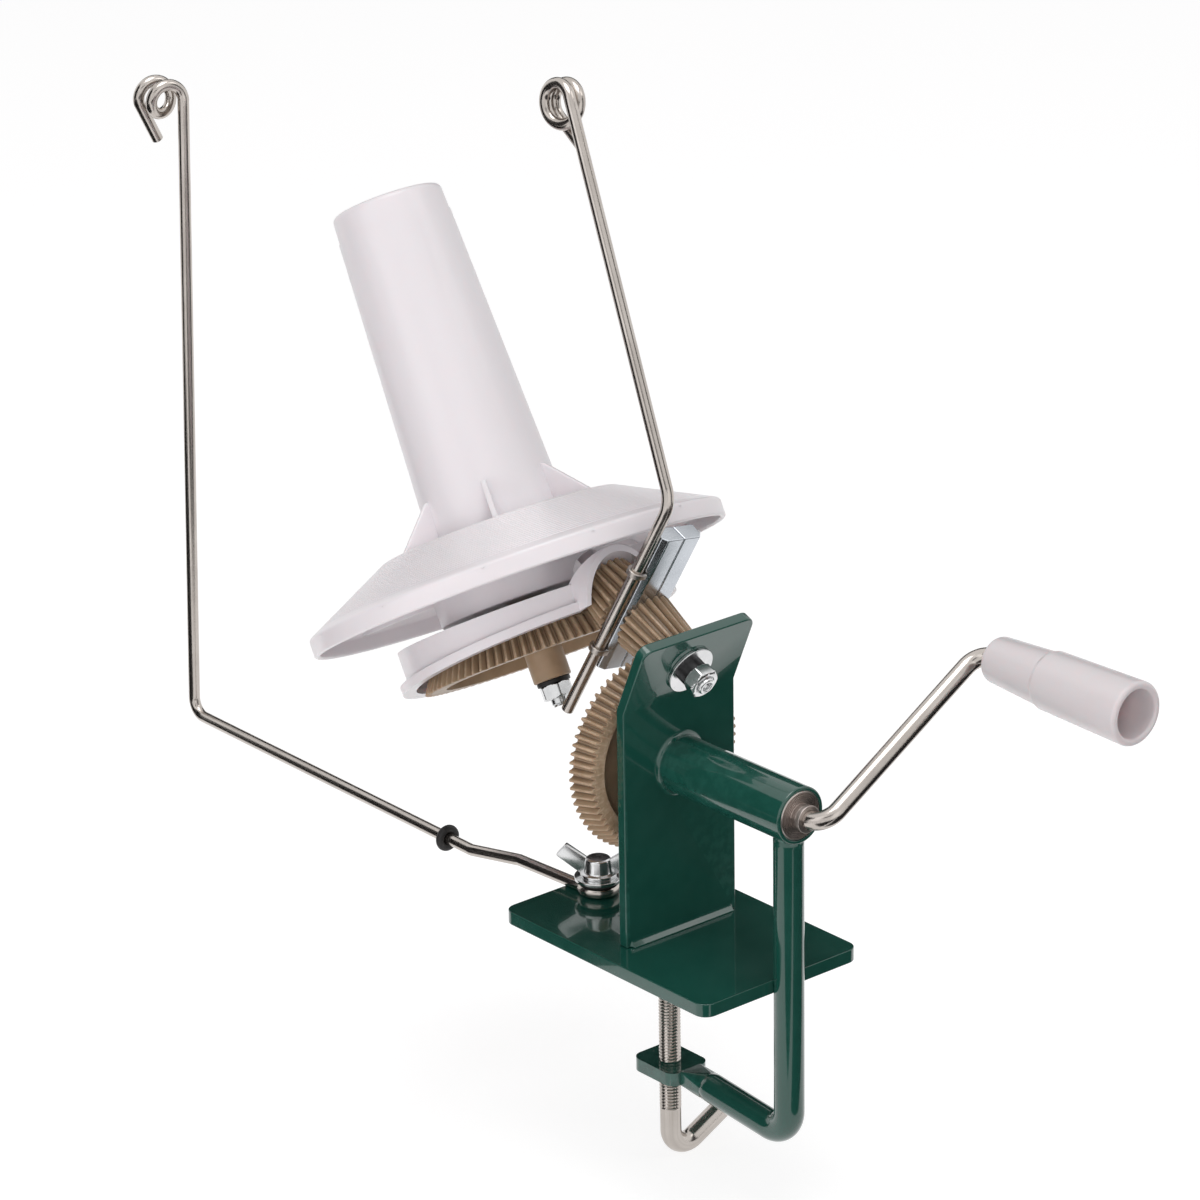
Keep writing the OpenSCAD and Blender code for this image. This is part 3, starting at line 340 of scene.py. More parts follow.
def eye_path(start, up, out, side, radius, pitch, tail, turn=568, steps=72):
    """The coil and the straight tail that end a wire."""
    coil = []
    for i in range(1, steps + 1):
        a = math.radians(turn * i / steps)
        coil.append(start + radius * (out * (1 - math.cos(a)) + up * math.sin(a))
                    + side * pitch * a / math.tau)
    a = math.radians(turn)
    away = out * math.sin(a) + up * math.cos(a)
    return coil + [coil[-1] + away * tail * k / 5 for k in range(1, 6)]


# Node trees that grow the pieces


def new_tree(name):
    """An empty geometry tree with a mesh coming in and a mesh going out."""
    tree = bpy.data.node_groups.new(name, "GeometryNodeTree")
    tree.interface.new_socket("Geometry", in_out="INPUT", socket_type="NodeSocketGeometry")
    tree.interface.new_socket("Geometry", in_out="OUTPUT", socket_type="NodeSocketGeometry")
    return tree


def add_size(tree, name, value, kind="NodeSocketFloat"):
    """A named size that the tree takes from its modifier."""
    socket = tree.interface.new_socket(name, in_out="INPUT", socket_type=kind)
    if value is not None:
        socket.default_value = value


def maths(tree, operation, *values):
    """A sum on numbers or on other nodes' outputs."""
    node = tree.nodes.new("ShaderNodeMath")
    node.operation = operation
    for socket, value in zip(node.inputs, values):
        if isinstance(value, (int, float)):
            socket.default_value = value
        else:
            tree.links.new(value, socket)
    return node.outputs[0]


def finish_tree(tree, geometry, inputs):
    """Ends a tree in Realize Instances and Set Material."""
    realize = tree.nodes.new("GeometryNodeRealizeInstances")
    paint = tree.nodes.new("GeometryNodeSetMaterial")
    out = tree.nodes.new("NodeGroupOutput")
    tree.links.new(geometry, realize.inputs["Geometry"])
    tree.links.new(realize.outputs["Geometry"], paint.inputs["Geometry"])
    tree.links.new(inputs.outputs["Material"], paint.inputs["Material"])
    tree.links.new(paint.outputs["Geometry"], out.inputs["Geometry"])


def rod_tree():
    """Sweeps a round section along a line of points, each with its own girth."""
    tree = new_tree("Round rod along a path")
    add_size(tree, "Sides", 32, "NodeSocketInt")
    add_size(tree, "Thickness", 0.0023)
    add_size(tree, "Material", None, "NodeSocketMaterial")
    inputs = tree.nodes.new("NodeGroupInput")
    curve = tree.nodes.new("GeometryNodeMeshToCurve")
    girth = tree.nodes.new("GeometryNodeInputNamedAttribute")
    girth.data_type = "FLOAT"
    girth.inputs["Name"].default_value = "girth"
    width = tree.nodes.new("GeometryNodeSetCurveRadius")
    reach = tree.nodes.new("GeometryNodeSplineParameter")
    keep_reach = tree.nodes.new("GeometryNodeCaptureAttribute")
    keep_reach.capture_items.new("FLOAT", "Reach")
    circle = tree.nodes.new("GeometryNodeCurvePrimitiveCircle")
    round_share = tree.nodes.new("GeometryNodeSplineParameter")
    keep_round = tree.nodes.new("GeometryNodeCaptureAttribute")
    keep_round.capture_items.new("FLOAT", "Share")
    sweep = tree.nodes.new("GeometryNodeCurveToMesh")
    link = tree.links.new
    link(inputs.outputs["Geometry"], curve.inputs["Mesh"])
    link(curve.outputs["Curve"], width.inputs["Curve"])
    link(girth.outputs["Attribute"], width.inputs["Radius"])
    link(width.outputs["Curve"], keep_reach.inputs["Geometry"])
    link(reach.outputs["Length"], keep_reach.inputs["Reach"])
    link(inputs.outputs["Sides"], circle.inputs["Resolution"])
    link(inputs.outputs["Thickness"], circle.inputs["Radius"])
    link(circle.outputs["Curve"], keep_round.inputs["Geometry"])
    link(round_share.outputs["Factor"], keep_round.inputs["Share"])
    link(keep_reach.outputs["Geometry"], sweep.inputs["Curve"])
    link(keep_round.outputs["Geometry"], sweep.inputs["Profile Curve"])
    link(girth.outputs["Attribute"], sweep.inputs["Scale"])
    sweep.inputs["Fill Caps"].default_value = True
    turn = maths(tree, "MULTIPLY", keep_round.outputs["Share"], math.tau)
    combine = tree.nodes.new("ShaderNodeCombineXYZ")
    for operation, axis in (("COSINE", "X"), ("SINE", "Y")):
        share = maths(tree, operation, turn)
        link(maths(tree, "MULTIPLY", share, inputs.outputs["Thickness"]), combine.inputs[axis])
    link(keep_reach.outputs["Reach"], combine.inputs["Z"])
    store = tree.nodes.new("GeometryNodeStoreNamedAttribute")
    store.data_type = "FLOAT_VECTOR"
    store.inputs["Name"].default_value = "unbent"
    link(sweep.outputs["Mesh"], store.inputs["Geometry"])
    link(combine.outputs["Vector"], store.inputs["Value"])
    finish_tree(tree, store.outputs["Geometry"], inputs)
    return tree


def circle_tree():
    """Sets copies of one shape round the Z axis, at even turns."""
    tree = new_tree("Copies round an axis")
    add_size(tree, "Count", 6, "NodeSocketInt")
    add_size(tree, "First Turn", 0.0)
    add_size(tree, "Material", None, "NodeSocketMaterial")
    inputs = tree.nodes.new("NodeGroupInput")
    points = tree.nodes.new("GeometryNodeMeshLine")
    points.inputs["Offset"].default_value = (0, 0, 0)
    index = tree.nodes.new("GeometryNodeInputIndex")
    turn = tree.nodes.new("ShaderNodeCombineXYZ")
    spread = tree.nodes.new("GeometryNodeInstanceOnPoints")
    link = tree.links.new
    link(inputs.outputs["Count"], points.inputs["Count"])
    share = maths(tree, "DIVIDE", maths(tree, "MULTIPLY", index.outputs["Index"], math.tau),
                  inputs.outputs["Count"])
    link(maths(tree, "ADD", share, inputs.outputs["First Turn"]), turn.inputs["Z"])
    link(points.outputs["Mesh"], spread.inputs["Points"])
    link(inputs.outputs["Geometry"], spread.inputs["Instance"])
    link(turn.outputs["Vector"], spread.inputs["Rotation"])
    finish_tree(tree, spread.outputs["Instances"], inputs)
    return tree


def stood(name, mesh):
    """An object for a mesh, a lamp or a camera, in the scene."""
    shape = bpy.data.objects.new(name, mesh)
    bpy.context.scene.collection.objects.link(shape)
    return shape


def settled(carrier):
    """The plain mesh that a carrier's modifiers make. The carrier goes."""
    bpy.context.view_layer.update()
    graph = bpy.context.evaluated_depsgraph_get()
    result = bpy.data.meshes.new_from_object(carrier.evaluated_get(graph))
    bpy.data.objects.remove(carrier)
    return result


def grown(mesh, tree, material, **sizes):
    """The plain mesh that a tree grows from a mesh, at the named sizes."""
    carrier = stood("carrier", mesh)
    modifier = carrier.modifiers.new("grow", "NODES")
    modifier.node_group = tree
    sizes["Material"] = material
    for item in tree.interface.items_tree:
        key = item.name.replace(" ", "_")
        if item.item_type == "SOCKET" and item.in_out == "INPUT" and key in sizes:
            modifier[item.identifier] = sizes[key]
    return settled(carrier)


def rod(points, diameter, material, place=Matrix(), sides=32, blunt=0.5):
    """A round rod along a path, with its two ends blunted."""
    line = [Vector(p) for p in points]
    ends = [line[0], line[0].lerp(line[1], min(1, blunt / (line[1] - line[0]).length))]
    tail = [line[-1].lerp(line[-2], min(1, blunt / (line[-1] - line[-2]).length)), line[-1]]
    line = ends + line[1:-1] + tail
    mesh = bpy.data.meshes.new("path")
    mesh.from_pydata([tuple(p) for p in line], [(i, i + 1) for i in range(len(line) - 1)], [])
    mesh.transform(Matrix.Scale(MM, 4) @ place)
    girth = mesh.attributes.new("girth", "FLOAT", "POINT")
    narrow = 1 - blunt / (diameter / 2)
    for i, value in enumerate(girth.data):
        value.value = narrow if i in (0, len(line) - 1) else 1.0
    return grown(mesh, TREES["rod"], material, Sides=sides, Thickness=diameter / 2 * MM)


def joined(*meshes):
    """One mesh that holds several, with their attributes."""
    parts = [stood("part", mesh) for mesh in meshes]
    with bpy.context.temp_override(active_object=parts[0], object=parts[0],
                                   selected_objects=parts, selected_editable_objects=parts):
        bpy.ops.object.join()
    mesh = parts[0].data
    bpy.data.objects.remove(parts[0])
    return mesh


def piece(name, mesh, material, body, nodes=(), crease=32):
    """A finished piece that rides on a body and stands for its solids."""
    mesh.name = name
    mesh.materials.clear()
    mesh.materials.append(material)
    for face in mesh.polygons:
        face.material_index = 0
    if crease:
        mesh.shade_smooth()
        mesh.set_sharp_from_angle(angle=math.radians(crease))
    shape = stood(name, mesh)
    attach(shape, body)
    if nodes:
        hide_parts(*nodes)
    return shape


def softened(node, width, segments=3, limit=28):
    """A copy of a solid's mesh with its sharp edges rounded over and its flats shaded flat."""
    mesh = tidied(frame["nodes"][node].data.copy(), 1e-6)
    work = bmesh.new()
    work.from_mesh(mesh)
    bmesh.ops.dissolve_limit(work, angle_limit=math.radians(0.6), verts=work.verts, edges=work.edges)
    work.to_mesh(mesh)
    work.free()
    mesh.shade_smooth()
    carrier = stood("carrier", mesh)
    edge = carrier.modifiers.new("edge", "BEVEL")
    edge.width = width * MM
    edge.segments = segments
    edge.limit_method = "ANGLE"
    edge.angle_limit = math.radians(limit)
    edge.miter_outer = "MITER_ARC"
    shade = carrier.modifiers.new("shade", "WEIGHTED_NORMAL")
    shade.mode = "FACE_AREA"
    shade.weight = 80
    shade.keep_sharp = True
    return settled(carrier)


def threaded(shell, top, bottom, diameter, pitch, depth, place=Matrix(), sides=40, rows=5):
    """Adds a right-hand thread between two heights, its ends drawn in."""
    count = max(2, round((top - bottom) / pitch * rows))
    corners = []
    for i in range(count + 1):
        z = bottom + (top - bottom) * i / count
        fade = min(1, min(z - bottom, top - z) / pitch + 0.15)
        for j in range(sides):
            share = (z / pitch - j / sides) % 1
            crest = 1 - abs(2 * share - 1)
            r = diameter / 2 - depth * (1 - min(1, 1.25 * crest)) * fade - (1 - fade) * depth * 0.7
            a = math.tau * j / sides
            corners.append((r * math.cos(a), r * math.sin(a), z))
    ends = [list(reversed(range(sides))), [count * sides + j for j in range(sides)]]
    shell.add(corners, ring_faces(count + 1, sides) + ends, place)


# Effects that several finishes share


def effect(name, inputs, outputs):
    """An empty shader group with its named inputs and outputs."""
    group = bpy.data.node_groups.new(name, "ShaderNodeTree")
    for label, value in inputs.items():
        kind = "NodeSocketVector" if value is None else "NodeSocketFloat"
        socket = group.interface.new_socket(label, in_out="INPUT", socket_type=kind)
        if value is not None:
            socket.default_value = value
    for label, kind in outputs.items():
        group.interface.new_socket(label, in_out="OUTPUT", socket_type=kind)
    return group, group.nodes.new("NodeGroupInput"), group.nodes.new("NodeGroupOutput")


def noise(tree, vector, scale, detail=3.0, roughness=0.55):
    """A noise texture's value."""
    node = tree.nodes.new("ShaderNodeTexNoise")
    tree.links.new(vector, node.inputs["Vector"])
    if isinstance(scale, (int, float)):
        node.inputs["Scale"].default_value = scale
    else:
        tree.links.new(scale, node.inputs["Scale"])
    node.inputs["Detail"].default_value = detail
    node.inputs["Roughness"].default_value = roughness
    return node.outputs["Fac"]


def ramp(tree, value, low, high, to_low=0.0, to_high=1.0):
    """A value brought from one range into another and held there."""
    node = tree.nodes.new("ShaderNodeMapRange")
    tree.links.new(value, node.inputs["Value"])
    for label, number in (("From Min", low), ("From Max", high), ("To Min", to_low), ("To Max", to_high)):
        if isinstance(number, (int, float)):
            node.inputs[label].default_value = number
        else:
            tree.links.new(number, node.inputs[label])
    return node.outputs["Result"]


def ripple_effect():
    """Slow waves and fine grain in a coat, as a height and as a mask."""
    group, inside, out = effect(
        "Surface ripple",
        {"Vector": None, "Wave Scale": 60.0, "Grain Scale": 900.0, "Grain Share": 0.2},
        {"Height": "NodeSocketFloat", "Mask": "NodeSocketFloat"})
    waves = noise(group, inside.outputs["Vector"], inside.outputs["Wave Scale"], 2.0)
    grain = noise(group, inside.outputs["Vector"], inside.outputs["Grain Scale"], 2.0)
    height = maths(group, "ADD", waves, maths(group, "MULTIPLY", grain, inside.outputs["Grain Share"]))
    group.links.new(height, out.inputs["Height"])
    group.links.new(ramp(group, waves, 0.35, 0.65), out.inputs["Mask"])
    return group


def streak_effect():
    """Streaks drawn out along the piece's Z, as on drawn wire and turned bar."""
    group, inside, out = effect(
        "Drawn streaks",
        {"Vector": None, "Across": 900.0, "Along": 14.0},
        {"Streaks": "NodeSocketFloat", "Blotches": "NodeSocketFloat"})
    stretch = group.nodes.new("ShaderNodeVectorMath")
    stretch.operation = "MULTIPLY"
    scales = group.nodes.new("ShaderNodeCombineXYZ")
    group.links.new(inside.outputs["Across"], scales.inputs["X"])
    group.links.new(inside.outputs["Across"], scales.inputs["Y"])
    group.links.new(inside.outputs["Along"], scales.inputs["Z"])
    group.links.new(inside.outputs["Vector"], stretch.inputs[0])
    group.links.new(scales.outputs["Vector"], stretch.inputs[1])
    group.links.new(noise(group, stretch.outputs["Vector"], 1.0, 4.0), out.inputs["Streaks"])
    group.links.new(noise(group, inside.outputs["Vector"], 45.0, 3.0), out.inputs["Blotches"])
    return group


def wear_effect():
    """A mask of the edges, broken up by noise, for wear, and a mask of the hollows, where shade is painted.
    """
    group, inside, out = effect(
        "Edge wear", {"Vector": None, "Amount": 0.5, "Break Up": 220.0},
        {"Edges": "NodeSocketFloat", "Hollow_Shade": "NodeSocketFloat"})
    geometry = group.nodes.new("ShaderNodeNewGeometry")
    broken = noise(group, inside.outputs["Vector"], inside.outputs["Break Up"], 4.0)
    sharp = ramp(group, geometry.outputs["Pointiness"], 0.53, 0.62)
    group.links.new(
        maths(group, "MULTIPLY", maths(group, "MULTIPLY", sharp, ramp(group, broken, 0.42, 0.6)),
              inside.outputs["Amount"]), out.inputs["Edges"])
    # The hollows mask: concave corners, where shade between the gears' teeth is painted
    group.links.new(ramp(group, geometry.outputs["Pointiness"], 0.492, 0.43), out.inputs["Hollow_Shade"])
    return group


def fleck_effect():
    """Scattered specks, such as dust under paint and pits in a casting."""
    group, inside, out = effect(
        "Flecks", {"Vector": None, "Scale": 400.0, "Size": 0.1},
        {"Specks": "NodeSocketFloat"})
    cells = group.nodes.new("ShaderNodeTexVoronoi")
    group.links.new(inside.outputs["Vector"], cells.inputs["Vector"])
    group.links.new(inside.outputs["Scale"], cells.inputs["Scale"])
    group.links.new(ramp(group, cells.outputs["Distance"], inside.outputs["Size"], 0.0), out.inputs["Specks"])
    return group


EFFECTS = {}
TREES = {}
FINISHES = {}


def place_effect(tree, name, vector, **values):
    """Puts a shared effect into a material, with its own values."""
    node = tree.nodes.new("ShaderNodeGroup")
    node.node_tree = EFFECTS[name]
    tree.links.new(vector, node.inputs["Vector"])
    for label, value in values.items():
        node.inputs[label.replace("_", " ")].default_value = value
    return node


def new_finish(name, **values):
    """A material with its shader and object coordinates, and the shader's constant values set."""
    material = bpy.data.materials.new(name)
    material.use_nodes = True
    tree = material.node_tree
    shader = tree.nodes["Principled BSDF"]
    for label, value in values.items():
        shader.inputs[label.replace("_", " ")].default_value = value
    where = tree.nodes.new("ShaderNodeTexCoord").outputs["Object"]
    FINISHES[name] = material
    return material, tree, shader, where


def mixed(tree, factor, low, high):
    """One of two colours, or between them."""
    node = tree.nodes.new("ShaderNodeMix")
    node.data_type = "RGBA"
    tree.links.new(factor, node.inputs["Factor"])
    for socket, colour in ((node.inputs["A"], low), (node.inputs["B"], high)):
        if isinstance(colour, tuple):
            socket.default_value = (*colour, 1)
        else:
            tree.links.new(colour, socket)
    return node.outputs["Result"]


def raise_surface(tree, shader, height, distance, strength=1.0):
    """Gives the shader a normal from a height."""
    bump = tree.nodes.new("ShaderNodeBump")
    bump.inputs["Distance"].default_value = distance
    bump.inputs["Strength"].default_value = strength
    tree.links.new(height, bump.inputs["Height"])
    tree.links.new(bump.outputs["Normal"], shader.inputs["Normal"])


def green_enamel(tints):
    """Thick glossy stove enamel, with a slow ripple, dust nibs and paler edges where it thins."""
    _, tree, shader, where = new_finish("green_enamel", Coat_Weight=0.9, Coat_Roughness=0.03,
                                        Specular_IOR_Level=0.35)
    ripple = place_effect(tree, "ripple", where, Wave_Scale=55.0, Grain_Scale=700.0, Grain_Share=0.05)
    wear = place_effect(tree, "wear", where, Amount=0.35)
    flecks = place_effect(tree, "flecks", where, Scale=90.0, Size=0.05)
    colour = mixed(tree, ripple.outputs["Mask"], tints.enamel_dark[:], tints.enamel[:])
    colour = mixed(tree, wear.outputs["Edges"], colour, tints.enamel_edge[:])
    tree.links.new(colour, shader.inputs["Base Color"])
    tree.links.new(ramp(tree, ripple.outputs["Mask"], 0.0, 1.0, 0.14, 0.22), shader.inputs["Roughness"])
    nibs = maths(tree, "MULTIPLY", flecks.outputs["Specks"], 0.5)
    height = maths(tree, "ADD", ripple.outputs["Height"], nibs)
    raise_surface(tree, shader, height, 0.0005, 0.35)


def moulded_tan(tints):
    """Satin moulded gear plastic, with shade painted darker in its hollows."""
    _, tree, shader, where = new_finish("moulded_tan", Specular_IOR_Level=0.45, Subsurface_Weight=0.08,
                                        Subsurface_Scale=0.002)
    ripple = place_effect(tree, "ripple", where, Wave_Scale=90.0, Grain_Scale=1600.0, Grain_Share=0.5)
    wear = place_effect(tree, "wear", where, Amount=0.6, Break_Up=400.0)
    colour = mixed(tree, ripple.outputs["Mask"], tints.gear_dark[:], tints.gear[:])
    # Painted shade: the hollows between the teeth take a near-black brown that stands in for the shade there
    colour = mixed(tree, wear.outputs["Hollow_Shade"], colour, tints.gear_hollow[:])
    colour = mixed(tree, wear.outputs["Edges"], colour, tints.gear_edge[:])
    tree.links.new(colour, shader.inputs["Base Color"])
    tree.links.new(ramp(tree, ripple.outputs["Mask"], 0.0, 1.0, 0.36, 0.48), shader.inputs["Roughness"])
    raise_surface(tree, shader, ripple.outputs["Height"], 0.0002, 0.3)


def white_plastic(tints, name, colour_low, colour_high, glow):
    """Glossy moulded plastic that lets a little warm light through, with a pink glow of that light painted
    where a piece marks its hollow.
    """
    _, tree, shader, where = new_finish(name, Specular_IOR_Level=0.5, Subsurface_Weight=glow,
                                        Subsurface_Radius=(1.0, 0.42, 0.38), Subsurface_Scale=0.004,
                                        Coat_Weight=0.15, Coat_Roughness=0.12)
    ripple = place_effect(tree, "ripple", where, Wave_Scale=22.0, Grain_Scale=1200.0, Grain_Share=0.1)
    flecks = place_effect(tree, "flecks", where, Scale=260.0, Size=0.05)
    colour = mixed(tree, ripple.outputs["Mask"], colour_low, colour_high)
    colour = mixed(tree, maths(tree, "MULTIPLY", flecks.outputs["Specks"], 0.25), colour, tints.dust[:])
    # Painted glow: the corners marked as the grip's hollow are painted bright pink, standing in for light
    # shining through the plastic
    hollow = tree.nodes.new("ShaderNodeAttribute")
    hollow.attribute_name = "hollow"
    colour = mixed(tree, hollow.outputs["Fac"], colour, tints.grip_hollow[:])
    tree.links.new(colour, shader.inputs["Base Color"])
    tree.links.new(ramp(tree, ripple.outputs["Mask"], 0.0, 1.0, 0.295, 0.305), shader.inputs["Roughness"])
    raise_surface(tree, shader, ripple.outputs["Height"], 0.0003, 0.06)


def plated_steel(name, light, dark, rough, unbent=False, grain=(400.0, 250.0)):
    """Plated or bare steel with streaks and faint blotches."""
    _, tree, shader, where = new_finish(name, Metallic=1.0)
    if unbent:
        node = tree.nodes.new("ShaderNodeAttribute")
        node.attribute_name = "unbent"
        where = node.outputs["Vector"]
    streaks = place_effect(tree, "streaks", where, Across=700.0 if unbent else grain[0],
                           Along=9.0 if unbent else grain[1])
    mask = maths(tree, "ADD", maths(tree, "MULTIPLY", ramp(tree, streaks.outputs["Streaks"], 0.2, 0.8), 0.55),
                 maths(tree, "MULTIPLY", ramp(tree, streaks.outputs["Blotches"], 0.3, 0.7), 0.45))
    tree.links.new(mixed(tree, mask, dark, light), shader.inputs["Base Color"])
    tree.links.new(ramp(tree, mask, 0.0, 1.0, rough[1], rough[0]), shader.inputs["Roughness"])
    raise_surface(tree, shader, streaks.outputs["Streaks"], 0.00004, 0.1)


def black_rubber(tints):
    """Matt rubber with a fine bloom."""
    _, tree, shader, where = new_finish("black_rubber", Specular_IOR_Level=0.4)
    ripple = place_effect(tree, "ripple", where, Wave_Scale=160.0, Grain_Scale=2400.0, Grain_Share=0.6)
    tree.links.new(mixed(tree, ripple.outputs["Mask"], tints.rubber[:], tints.rubber_bloom[:]),
                   shader.inputs["Base Color"])
    tree.links.new(ramp(tree, ripple.outputs["Mask"], 0.0, 1.0, 0.42, 0.6), shader.inputs["Roughness"])
    raise_surface(tree, shader, ripple.outputs["Height"], 0.0002, 0.4)


def colour_prop(name, text, value):
    """A colour that a user may change."""
    return bpy.props.FloatVectorProperty(name=name, description=text, subtype="COLOR", size=3,
                                         min=0, max=1, default=value)


class WinderTints(bpy.types.PropertyGroup):
    """Colours of the finishes."""

    enamel: colour_prop("Enamel", "Colour of the green enamel", (0.009, 0.07, 0.052))
    enamel_dark: colour_prop("Enamel, Dark", "Colour where the enamel lies thick", (0.008, 0.064, 0.047))
    enamel_edge: colour_prop("Enamel, Edge", "Colour where the enamel thins at an edge", (0.03, 0.14, 0.11))
    gear: colour_prop("Gears", "Colour of the gear plastic", (0.40, 0.285, 0.185))
    gear_dark: colour_prop("Gears, Dark", "Darker colour of the gear plastic", (0.33, 0.23, 0.145))
    # Painted shade between the teeth, not a colour of the plastic
    gear_hollow: colour_prop("Gears, Hollow", "Colour between the teeth", (0.085, 0.052, 0.03))
    gear_edge: colour_prop("Gears, Edge", "Colour of the teeth's worn edges", (0.66, 0.52, 0.38))
    plastic: colour_prop("White Plastic", "Colour of the cone and the cover", (0.805, 0.768, 0.79))
    plastic_shade: colour_prop("White Plastic, Shade", "Darker colour of the cone", (0.804, 0.767, 0.789))
    dust: colour_prop("Dust", "Colour of specks on the white plastic", (0.6, 0.55, 0.52))
    grip: colour_prop("Grip", "Colour of the handle grip", (0.70, 0.66, 0.67))
    grip_shade: colour_prop("Grip, Shade", "Darker colour of the handle grip", (0.697, 0.657, 0.667))
    # Painted glow of light through the plastic, deep in the grip's hollow
    grip_hollow: colour_prop("Grip, Hollow", "Colour deep in the grip's hollow", (1.0, 0.84, 0.85))
    plate: colour_prop("Plating", "Colour of bright plated steel", (0.80, 0.80, 0.80))
    plate_dark: colour_prop("Plating, Dark", "Darker colour of bright plated steel", (0.62, 0.63, 0.64))
    wire: colour_prop("Wire", "Colour of the bare wires and rods", (0.63, 0.585, 0.545))
    wire_dark: colour_prop("Wire, Dark", "Colour of the wires' dark streaks", (0.40, 0.36, 0.33))
    zinc: colour_prop("Zinc", "Colour of the flyer's zinc-coated bars", (0.62, 0.65, 0.69))
    zinc_dark: colour_prop("Zinc, Dark", "Darker colour of the zinc coat", (0.50, 0.53, 0.57))
    turned: colour_prop("Turned Steel", "Colour of the turned bush and collar", (0.66, 0.60, 0.57))
    turned_dark: colour_prop("Turned Steel, Dark", "Darker colour of the turned bush", (0.40, 0.35, 0.32))
    oxide: colour_prop("Black Oxide", "Colour of the blackened spring washers", (0.07, 0.07, 0.072))
    oxide_dark: colour_prop("Black Oxide, Dark", "Darker colour of the blackened washers", (0.03, 0.03, 0.03))
    rubber: colour_prop("Rubber", "Colour of the rubber", (0.010, 0.010, 0.010))
    rubber_bloom: colour_prop("Rubber, Bloom", "Colour of the rubber's bloom", (0.022, 0.021, 0.021))


class WinderShapes(bpy.types.PropertyGroup):
    """Counts and sizes of what a user would change."""

    groove_count: bpy.props.IntProperty(
        name="Grooves", description="Number of grooves on the flange", default=20, min=6, max=30)
    fin_count: bpy.props.IntProperty(
        name="Fins", description="Number of fins at the foot of the cone", default=6, min=3, max=8)
    rib_count: bpy.props.IntProperty(
        name="Ribs", description="Number of ribs under the flange", default=12, min=6, max=16)
    wire_thickness: bpy.props.FloatProperty(
        name="Wire", description="Thickness of the wires", default=WIRE * MM, unit="LENGTH",
        subtype="DISTANCE")
    enamel_round: bpy.props.FloatProperty(
        name="Plate Edge", description="Rounding of the enamelled plates' edges", default=1.0 * MM,
        min=0.2 * MM, max=2.0 * MM, unit="LENGTH", subtype="DISTANCE")
    floor_size: bpy.props.FloatProperty(
        name="Floor", description="Half the width of the floor", default=3.0, unit="LENGTH",
        subtype="DISTANCE")


class WINDER_OT_finishes(bpy.types.Operator):
    """Makes the shared effects, the node trees and the finishes"""

    bl_idname = "winder.finishes"
    bl_label = "Make Finishes"

    def execute(self, context):
        tints = context.scene.winder_tints
        EFFECTS.update(ripple=ripple_effect(), streaks=streak_effect(), wear=wear_effect(),
                       flecks=fleck_effect())
        TREES.update(rod=rod_tree(), circle=circle_tree())
        green_enamel(tints)
        moulded_tan(tints)
        white_plastic(tints, "white_plastic", tints.plastic_shade[:], tints.plastic[:], 0.12)
        white_plastic(tints, "grip_plastic", tints.grip_shade[:], tints.grip[:], 0.35)
        plated_steel("bright_plate", tints.plate[:], tints.plate_dark[:], (0.12, 0.26))
        plated_steel("drawn_wire", tints.wire[:], tints.wire_dark[:], (0.14, 0.26), unbent=True)
        plated_steel("bare_steel", tints.wire[:], tints.wire_dark[:], (0.22, 0.38))
        plated_steel("turned_steel", tints.turned[:], tints.turned_dark[:], (0.28, 0.42))
        plated_steel("zinc_coat", tints.zinc[:], tints.zinc_dark[:], (0.16, 0.28), grain=(1500.0, 1100.0))
        plated_steel("black_oxide", tints.oxide[:], tints.oxide_dark[:], (0.3, 0.45))
        black_rubber(tints)
        return {"FINISHED"}


BLACKENED = "axle_spring_washers"
SOLID_FINISHES = {
    "green_paint": "green_enamel", "bright_steel": "bright_plate", "dark_steel": "bare_steel",
    "tan_plastic": "moulded_tan", "white_plastic": "white_plastic", "grip_plastic": "grip_plastic",
    "black_rubber": "black_rubber",
}


class WINDER_OT_solids(bpy.types.Operator):
    """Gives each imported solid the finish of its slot"""

    bl_idname = "winder.solids"
    bl_label = "Finish Solids"

    def execute(self, context):
        for part in frame["record"]["subparts"]:
            node = frame["nodes"][part["node"]]
            for slot in node.material_slots:
                slot.material = FINISHES[
                    "black_oxide" if part["node"] == BLACKENED else SOLID_FINISHES[part["material_slot"]]]
        return {"FINISHED"}


class WINDER_OT_weldment(bpy.types.Operator):
    """Builds the enamelled frame: base, upright, tube with the weld round its root, and clamp rod"""

    bl_idname = "winder.weldment"
    bl_label = "Build Weldment"

    def execute(self, context):
        edge = context.scene.winder_shapes.enamel_round / MM
        paint = FINISHES["green_enamel"]
        piece("base", softened("base_plate", edge), paint, "frame", ["base_plate"], None)
        piece("upright", softened("upright_plate", edge), paint, "frame",
              ["upright_plate"], None)
        outer = TUBE_OUTER / 2
        inner = outer - TUBE_WALL
        tube = Shell().lathe(rounded(
            [(inner, UPRIGHT_FRONT), (outer, UPRIGHT_FRONT), (outer, TUBE_END), (inner, TUBE_END)],
            [0, 0, 0.9, 0.4]), CRANK)
        tube.lathe(weld_outline(outer), CRANK)
        piece("tube", tube.mesh("tube"), paint, "frame", ["crank_tube"])
        line = bent_path([(ROD_X, 0, ROD_TOP), (ROD_X, 0, ROD_CORNER), (ROD_INNER[0], 0, ROD_INNER[1])],
                         ROD_BEND, 16)
        bar = rod(line, ROD_DIAMETER + ROD_PROUD, paint, Matrix(), 64, ROD_PROUD / 2)
        piece("rod", joined(softened("clamp_rod", PAD_ROUND), bar), paint, "frame",
              ["clamp_rod"], None)
        return {"FINISHED"}


